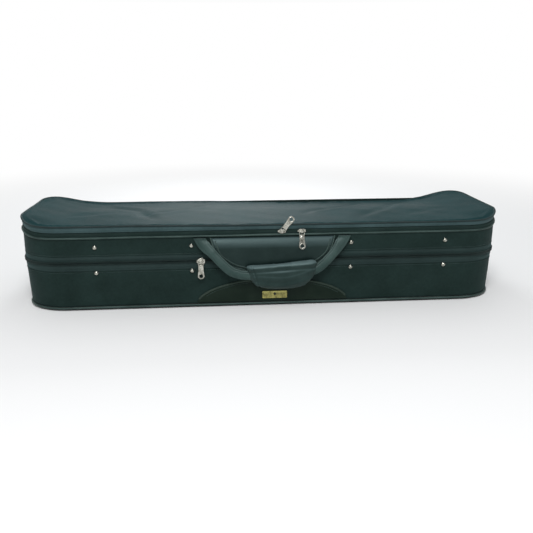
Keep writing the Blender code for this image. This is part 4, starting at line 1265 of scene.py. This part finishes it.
def flap_face(x, z):
    """The flap's outer face: it rolls out over the zip from its stitched top edge."""
    down = np.clip((FLAP_TOP - z) / 0.02, 0.0, 1.0)
    lift = 0.0073 * (1.0 - (1.0 - down) ** 2.4)
    roll = 0.0004 * hump(z - 0.0975, 0.005)
    slack = 0.0002 * ripple(x, z * 1.6, 0.07, 2.0) * smooth((FLAP_TOP - z) / 0.012)
    return FLAP_FACE + lift + roll + slack


def make_flap():
    """The leatherette that hangs over the zip behind the handle, bound along its free edge."""
    half = through(FLAP_HALF, 6) * (-1, 1) + (FLAP_CENTRE, 0)
    edge = np.vstack((half, half[-2::-1] * (-1, 1) + (2 * FLAP_CENTRE, 0)))
    rows, columns = 40, 56
    low = edge[:, 1].min()
    order = np.argsort(half[:, 1])
    verts = []
    for i in range(rows):
        t = i / (rows - 1)
        z = low + (FLAP_TOP - low) * t ** 1.25
        reach = float(np.interp(z, half[order, 1], FLAP_CENTRE - half[order, 0]))
        reach = max(reach, 0.0015) - 0.0004
        for j in range(columns):
            x = FLAP_CENTRE + reach * (2 * j / (columns - 1) - 1)
            verts.append((x, -float(flap_face(x, z)), z))
    sheet = finished("zip_flap_leather", verts, grid_faces(rows, columns), 60.0)
    inward = 1.0 if sheet.data.polygons[0].normal.y > 0 else -1.0
    modify(sheet, "SOLIDIFY", thickness=0.0012, offset=inward)
    dress(sheet, "leatherette", "flap", ("zip_flap",))
    outer = [(x, -float(flap_face(x, z)) + 0.0005, z) for x, z in edge]
    dress(tube("flap_binding", outer, 0.0013, False, 10), "piping", "flap")

    def moved_in(points, share, up):
        return [(FLAP_CENTRE + (x - FLAP_CENTRE) * share, z + up) for x, z in points]

    inner = moved_in(edge[3:-3], 0.955, 0.0042)
    rib = [(x, -float(flap_face(x, z)) - 0.0001, z) for x, z in inner if z < FLAP_TOP - 0.003]
    dress(tube("flap_second_rib", rib, 0.001, False, 8), "piping", "flap")
    seam_on(sheet, "flap_stitches", moved_in(edge[4:-4:4], 0.975, 0.0023), "flap")


PATCH_FOOT = span("lower_patch", Z)[0] + 0.004
PATCH_LEFT = ((-0.122, -0.004), (-0.113, 0.007), (-0.094, 0.0175), (-0.0665, 0.026), (-0.043, 0.03))


def make_patch():
    """The arched patch low on the front: lightly padded leatherette with a piped upper edge."""
    arch = through([(FLAP_CENTRE + x, PATCH_FOOT + z) for x, z in PATCH_LEFT]
                   + [(FLAP_CENTRE, PATCH_FOOT + 0.032)]
                   + [(FLAP_CENTRE - x, PATCH_FOOT + z) for x, z in PATCH_LEFT[::-1]], 8)
    rows, columns = 16, len(arch)
    bottom = PATCH_FOOT - 0.004
    face = HALF_Y + 0.0012
    verts = []
    for i in range(rows):
        t = i / (rows - 1)
        for x, top in arch:
            z = bottom + (top - bottom) * t
            d = min(top - z, z - bottom + 0.006, 0.012)
            puff = 0.0011 * (max(d, 0) / 0.012) ** 0.5
            slack = 0.00025 * float(ripple(x, z * 2, 0.05, 7.0))
            verts.append((x, -(face + puff + slack), z))
    for i in range(rows):
        t = i / (rows - 1)
        verts += [(x, -HALF_Y - 0.0002, bottom + (top - bottom) * t) for x, top in arch]
    faces = grid_faces(rows, columns)
    shift = rows * columns
    faces += [tuple(v + shift for v in f[::-1]) for f in grid_faces(rows, columns)]
    rim = list(range(columns)) + [columns * (i + 1) - 1 for i in range(1, rows)]
    rim += [(rows - 1) * columns + j for j in range(columns - 2, -1, -1)]
    rim += [i * columns for i in range(rows - 2, 0, -1)]
    faces += [(a, b, b + shift, a + shift) for a, b in zip(rim, rim[1:] + rim[:1])]
    patch = finished("lower_patch_leather", verts, faces, 60.0)
    dress(patch, "patch", "body", ("lower_patch",))
    line = [(x, -HALF_Y - 0.0007, z - 0.0002) for x, z in arch[4:-4]]
    dress(tube("patch_piping", line, 0.0017, False, 12), "patch_roll", "body")
    seam_on(patch, "patch_stitches", [(x * 0.98 + FLAP_CENTRE * 0.02, z - 0.0034) for x, z in arch[10:-10:4]],
            "body")


def make_badge():
    """A small plain plate: raised rim, two pins and a generic diamond, with no lettering."""
    (x0, y0, z0), (x1, _, z1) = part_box("badge")
    x, z, half_x, half_z = (x0 + x1) / 2, (z0 + z1) / 2, (x1 - x0) / 2, (z1 - z0) / 2
    corner, rim_width, front = 0.0015, 0.0009, -y0
    edge = rounded_box(half_x, half_z, corner, corner, 5)
    inside = rounded_box(half_x, half_z, corner, corner - rim_width, 5)
    plate = curve_plate("badge_field", [edge], 0.0008, front_at(x, front - 0.0006, z), 0.0002, 2)
    rim = curve_plate("badge_rim", [edge, inside], 0.0005, front_at(x, front - 0.0001, z), 0.0001, 2)
    diamond = [(0.0, 0.003), (0.0024, 0.0), (0.0, -0.003), (-0.0024, 0.0)]
    motif = curve_plate("badge_motif", [[(u, v + 0.0012) for u, v in diamond[::-1]]], 0.0006,
                        front_at(x, front - 0.0001, z), 0.0002, 2)
    pin = [(0.0, 0.0006), (0.0008, 0.0004), (0.0011, 0.0), (0.0, -0.0003)]
    pins = [turned(f"badge_pin_{side}", pin, front_at(x + side * (half_x - 0.0034), front - 0.0002, z), 16)
            for side in (-1, 1)]
    dress(joined("badge_plate", [plate, rim] + pins), "brass", "body", ("badge",))
    dress(motif, "moulding", "body")


# ---------------------------------------------------------------- interior

def mesh_of(node_name, name):
    """A copy of a CAD node's mesh, to be worked into a piece."""
    source = frame["nodes"][node_name]
    obj = linked(name, source.data.copy())
    obj.matrix_world = source.matrix_world
    return obj


def soften(node_name, voxel, rounds, body, finish, name):
    """Remeshes a CAD solid finely and relaxes its corners into padded, rounded edges."""
    obj = mesh_of(node_name, name)
    modify(obj, "REMESH", mode="VOXEL", voxel_size=voxel)
    modify(obj, "SMOOTH", factor=0.5, iterations=rounds)
    obj.data.shade_smooth()
    dress(obj, finish, body, (node_name,))


LINING_INSET, LINING_THICK = 0.0108, 0.0014


def lined(name, low, high, body, node_name):
    """A plush lining from its floor at low to its rim at high: a tray with rounded corners."""
    run = Run(step=0.01, corner_steps=14)
    up = 1 if high > low else -1
    r = 0.006
    face = LINING_INSET + 0.0015
    inner = [(face, high), (face, high - up * 0.012), (face, low + up * (r + 0.004))]
    inner += [(face + r * (1 - math.cos(a)), low + up * r * (1 - math.sin(a)))
              for a in np.linspace(0.0, math.pi / 2, 6)]
    under = low - up * LINING_THICK
    outer = [(LINING_INSET + 0.03, under), (LINING_INSET + 0.002, under),
             (LINING_INSET, low - up * LINING_THICK * 0.2), (LINING_INSET, high - up * 0.0006)]
    rows, columns = len(run.centre), len(outer + inner)
    places = carried(outer + inner, run)
    if body == "body":
        places = lean(places)
    faces = grid_faces(rows, columns, True, False)
    faces += [tuple(i * columns + column for i in range(rows)) for column in (0, columns - 1)]
    dress(finished(name, places.reshape(-1, 3), faces, 50.0), "plush", body, (node_name,))


def make_rims():
    """Cloth binding wrapped over the bare rim of each shell."""
    run = Run(step=0.006, corner_steps=18)
    for name, body, rim, way, leaned in (("body_rim_binding", "body", SHELL_TOP, 1, True),
                                         ("lid_rim_binding", "lid", LID_RIM, -1, False)):
        outer = [(0.0013, rim - way * 0.01), (0.0012, rim), (0.0018, rim + way * 0.0005),
                 (0.006, rim + way * 0.0008), (0.0102, rim + way * 0.0005), (0.0107, rim),
                 (0.0107, rim - way * 0.003)]
        inner = [(0.0104, rim - way * 0.003), (0.01, rim + way * 0.0001), (0.006, rim + way * 0.0003),
                 (0.002, rim + way * 0.0001), (0.0016, rim - way * 0.01)]
        dress(sweep(name, outer + inner, run, leaned=leaned, sharp=70.0), "seam_roll", body)


SOFTENED = (
    # CAD node, voxel, rounds of smoothing, body, finish, piece
    ("violin_bed", 0.0028, 8, "body", "plush", "violin_bed_padding"),
    ("bed_floor", 0.003, 3, "body", "plush", "bed_floor_padding"),
    ("neck_cradle", 0.0018, 10, "body", "plush", "neck_cradle_pad"),
    ("accessory_box", 0.0014, 3, "body", "plush", "accessory_box_lined"),
    ("accessory_lid", 0.0012, 3, "accessory_lid", "plush", "accessory_box_flap"),
    ("bow_tip_loop_1", 0.0007, 4, "lid", "plush", "bow_tip_pocket_1"),
    ("bow_spinner_1", 0.0006, 4, "bow_spinner_1", "moulding", "bow_spinner_1_moulded"),
    ("bow_tip_loop_2", 0.0007, 4, "lid", "plush", "bow_tip_pocket_2"),
    ("bow_spinner_2", 0.0006, 4, "bow_spinner_2", "moulding", "bow_spinner_2_moulded"),
)


def make_interior():
    """Linings, padded fittings, and the accessory lid, whose left edge is kept clear of the lid stay."""
    low, high = (corner[Z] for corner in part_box("body_lining"))
    lined("body_plush", low + 0.0015, high, "body", "body_lining")
    low, high = (corner[Z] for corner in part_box("lid_lining"))
    lined("lid_plush", high - 0.0015, low, "lid", "lid_lining")
    for row in SOFTENED:
        soften(*row)
    for vertex in bpy.data.objects["accessory_box_flap"].data.vertices:
        vertex.co.x += 0.0035 * float(smooth((-0.352 - vertex.co.x) / 0.018))
    make_neck_strap()
    make_stays()
    make_catches()


def make_neck_strap():
    """The ribbon over the violin's neck: woven edges and a bar of stitching."""
    (x0, y0, z0), (x1, y1, z1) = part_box("neck_strap")
    rows, columns = 34, 14
    verts = []
    for i in range(rows):
        t = i / (rows - 1)
        y = y0 + (y1 - y0) * t
        z = (z0 + z1) / 2 + 0.001 * math.sin(math.pi * t) + 0.0002 * math.sin(t * 40)
        for j in range(columns):
            u = 2 * j / (columns - 1) - 1
            crown = 0.0002 * (abs(u) > 0.85) - 0.0003 * u * u
            verts.append((x0 + (x1 - x0) * (j / (columns - 1)), y, z + crown))
    ribbon = finished("neck_ribbon", verts, grid_faces(rows, columns), 60.0)
    modify(ribbon, "SOLIDIFY", thickness=0.0012, offset=0.0)
    dress(ribbon, "ribbon", "neck_strap", ("neck_strap",))
    bar = [(x, y0 + 0.012, (z0 + z1) / 2 + 0.0014) for x in np.arange(x0 + 0.002, x1 - 0.001, 0.0022)]
    count = len(bar)
    dress(beads("neck_ribbon_stitches", bar, [(1, 0, 0)] * count, [(0, 0, 1)] * count, 0.0017, 0.00025),
          "thread", "neck_strap")


def make_stays():
    """The two ribbons that stop the lid; each is folded at its end wall while the lid is shut."""
    for name, side in (("lid_stay_left", -1), ("lid_stay_right", 1)):
        (x0, y0, z0), (x1, y1, z1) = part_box(name)
        wall, fold = (x0, x1) if side < 0 else (x1, x0)
        deep = abs(wall - fold) * 0.45
        line = through([(wall - side * 0.0006, z0), (wall - side * deep * 0.8, z0 + 0.0041),
                        (wall - side * deep, (z0 + z1) / 2 - 0.0018), (wall - side * deep * 0.7, z1 - 0.006),
                        (wall - side * 0.0004, z1)], 7)
        columns = 9
        verts = []
        for x, z in line:
            verts += [(x, y0 + (y1 - y0) * j / (columns - 1), z) for j in range(columns)]
        ribbon = finished(name + "_ribbon", verts, grid_faces(len(line), columns), 80.0)
        modify(ribbon, "SOLIDIFY", thickness=0.0007, offset=0.0)
        dress(ribbon, "ribbon", None, (name,))
        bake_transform(ribbon)


def make_catches():
    """The spring plates inside the front wall, with rolled edges."""
    for kind, body in (("catch_tongue", "body"), ("catch_keeper", "lid")):
        for number in (1, 2, 3, 4):
            name = f"{kind}_{number}"
            obj = mesh_of(name, name + "_eased")
            modify(obj, "BEVEL", width=0.00035, segments=3, limit_method="ANGLE")
            obj.data.shade_smooth()
            obj.data.set_sharp_from_angle(angle=math.radians(40))
            dress(obj, "steel", body, (name,))


# ---------------------------------------------------------------- camera, light, floor

YAW, ELEVATION = math.radians(5.1), math.radians(16.44)
DISTANCE = 1.058                           # from the camera to the case's front
SENSOR = 36.0                              # millimetres
FOCAL_SHARE = 663.4 / 533.0                # focal length over the picture's width


def make_camera():
    """In front of the case and above it, looking down and slightly to the right."""
    forward = Vector((math.sin(YAW) * math.cos(ELEVATION), math.cos(YAW) * math.cos(ELEVATION),
                      -math.sin(ELEVATION)))
    data = bpy.data.cameras.new("camera")
    data.sensor_width = SENSOR
    data.lens = FOCAL_SHARE * SENSOR
    camera = linked("camera", data)
    camera.location = Vector((-0.002, -HALF_Y, 0.0648)) - forward * DISTANCE
    camera.rotation_euler = forward.to_track_quat("-Z", "Y").to_euler()
    bpy.context.scene.camera = camera


def area_light(name, at, aim, size, power, colour=(1, 1, 1)):
    data = bpy.data.lights.new(name, "AREA")
    data.shape = "RECTANGLE"
    data.size, data.size_y = size
    data.energy = power
    data.color = colour
    light = linked(name, data)
    light.location = at
    light.rotation_euler = (Vector(aim) - Vector(at)).to_track_quat("-Z", "Y").to_euler()


def whiten_far_floor(tree, shader):
    """Lets the floor run into the white of the cove well away from the case."""
    coords = node(tree, "ShaderNodeTexCoord")
    distance = node(tree, "ShaderNodeVectorMath", operation="LENGTH")
    tree.links.new(coords.outputs["Object"], distance.inputs[0])
    share = node(tree, "ShaderNodeMapRange", interpolation_type="SMOOTHSTEP")
    share.inputs["From Min"].default_value = 0.5
    share.inputs["From Max"].default_value = 1.7
    tree.links.new(distance.outputs["Value"], share.inputs["Value"])
    blend = node(tree, "ShaderNodeMixShader")
    tree.links.new(share.outputs["Result"], blend.inputs["Fac"])
    tree.links.new(shader.outputs["BSDF"], blend.inputs[1])
    tree.links.new(node(tree, "ShaderNodeEmission").outputs["Emission"], blend.inputs[2])
    output = next(n for n in tree.nodes if n.type == "OUTPUT_MATERIAL")
    tree.links.new(blend.outputs["Shader"], output.inputs["Surface"])


def make_stage():
    """A pale floor, the studio and its three soft lights."""
    mesh = bpy.data.meshes.new("floor")
    reach = 6.0
    mesh.from_pydata([(u * reach, v * reach, 0) for u, v in ((-1, -1), (1, -1), (1, 1), (-1, 1))], [],
                     [(0, 1, 2, 3)])
    floor = linked("floor", mesh)
    floor.location.z = -0.0005
    pale, tree, shader = shader_of("pale_floor")
    shader.inputs["Base Color"].default_value = (0.86, 0.86, 0.86, 1.0)
    shader.inputs["Roughness"].default_value = 0.9
    whiten_far_floor(tree, shader)
    mesh.materials.append(pale)
    make_world()
    area_light("overhead", (-0.02, 1.1, 0.7), (0, 0.0, 0.12), (0.5, 0.4), 4.5, (0.95, 0.99, 1.0))
    area_light("front_left", (-0.2, -1.6, 1.9), (0, -0.25, 0.0), (0.9, 0.9), 36.0)
    area_light("back_floor", (0.0, 3.6, 2.6), (0.0, 3.0, 0.0), (5.0, 3.0), 15.0)
    bpy.context.scene.view_settings.view_transform = "Standard"


def make_world():
    """A studio cove: white before and behind, darker overhead and towards both sides."""
    world = bpy.data.worlds.new("studio")
    world.use_nodes = True
    tree = world.node_tree
    parts = node(tree, "ShaderNodeSeparateXYZ")
    tree.links.new(node(tree, "ShaderNodeTexCoord").outputs["Generated"], parts.inputs[0])
    above = ramp(tree, parts.outputs["Z"], ((0.09, (1.0, 1.0, 1.0)), (0.17, (0.42, 0.43, 0.44)),
                                            (1.0, (0.6, 0.61, 0.62))))
    sideways = math_node(tree, "ABSOLUTE", parts.outputs["X"])
    flags = ramp(tree, sideways, ((0.5, (1.0, 1.0, 1.0)), (0.85, (0.62, 0.62, 0.62))))
    product = node(tree, "ShaderNodeMix", data_type="RGBA", blend_type="MULTIPLY", Factor=1.0)
    tree.links.new(above, product.inputs[6])
    tree.links.new(flags, product.inputs[7])
    sky = tree.nodes["Background"]
    tree.links.new(product.outputs[2], sky.inputs["Color"])
    sky.inputs["Strength"].default_value = 1.0
    bpy.context.scene.world = world


# ---------------------------------------------------------------- the object

make_camera()
make_stage()
make_walls()
make_base()
make_piping()
make_zips()
make_hinge()
make_rims()
make_pocket_panel()
make_gusset()
make_sliders_and_pulls()
make_rivets()
make_strap()
make_grip()
make_flap()
make_patch()
make_badge()
make_interior()

for cad_name, cad_object in frame["nodes"].items():
    slot_name = next(p["material_slot"] for p in frame["record"]["subparts"] if p["node"] == cad_name)
    cad_object.data.materials.clear()
    cad_object.data.materials.append(MATERIALS[slot_name])
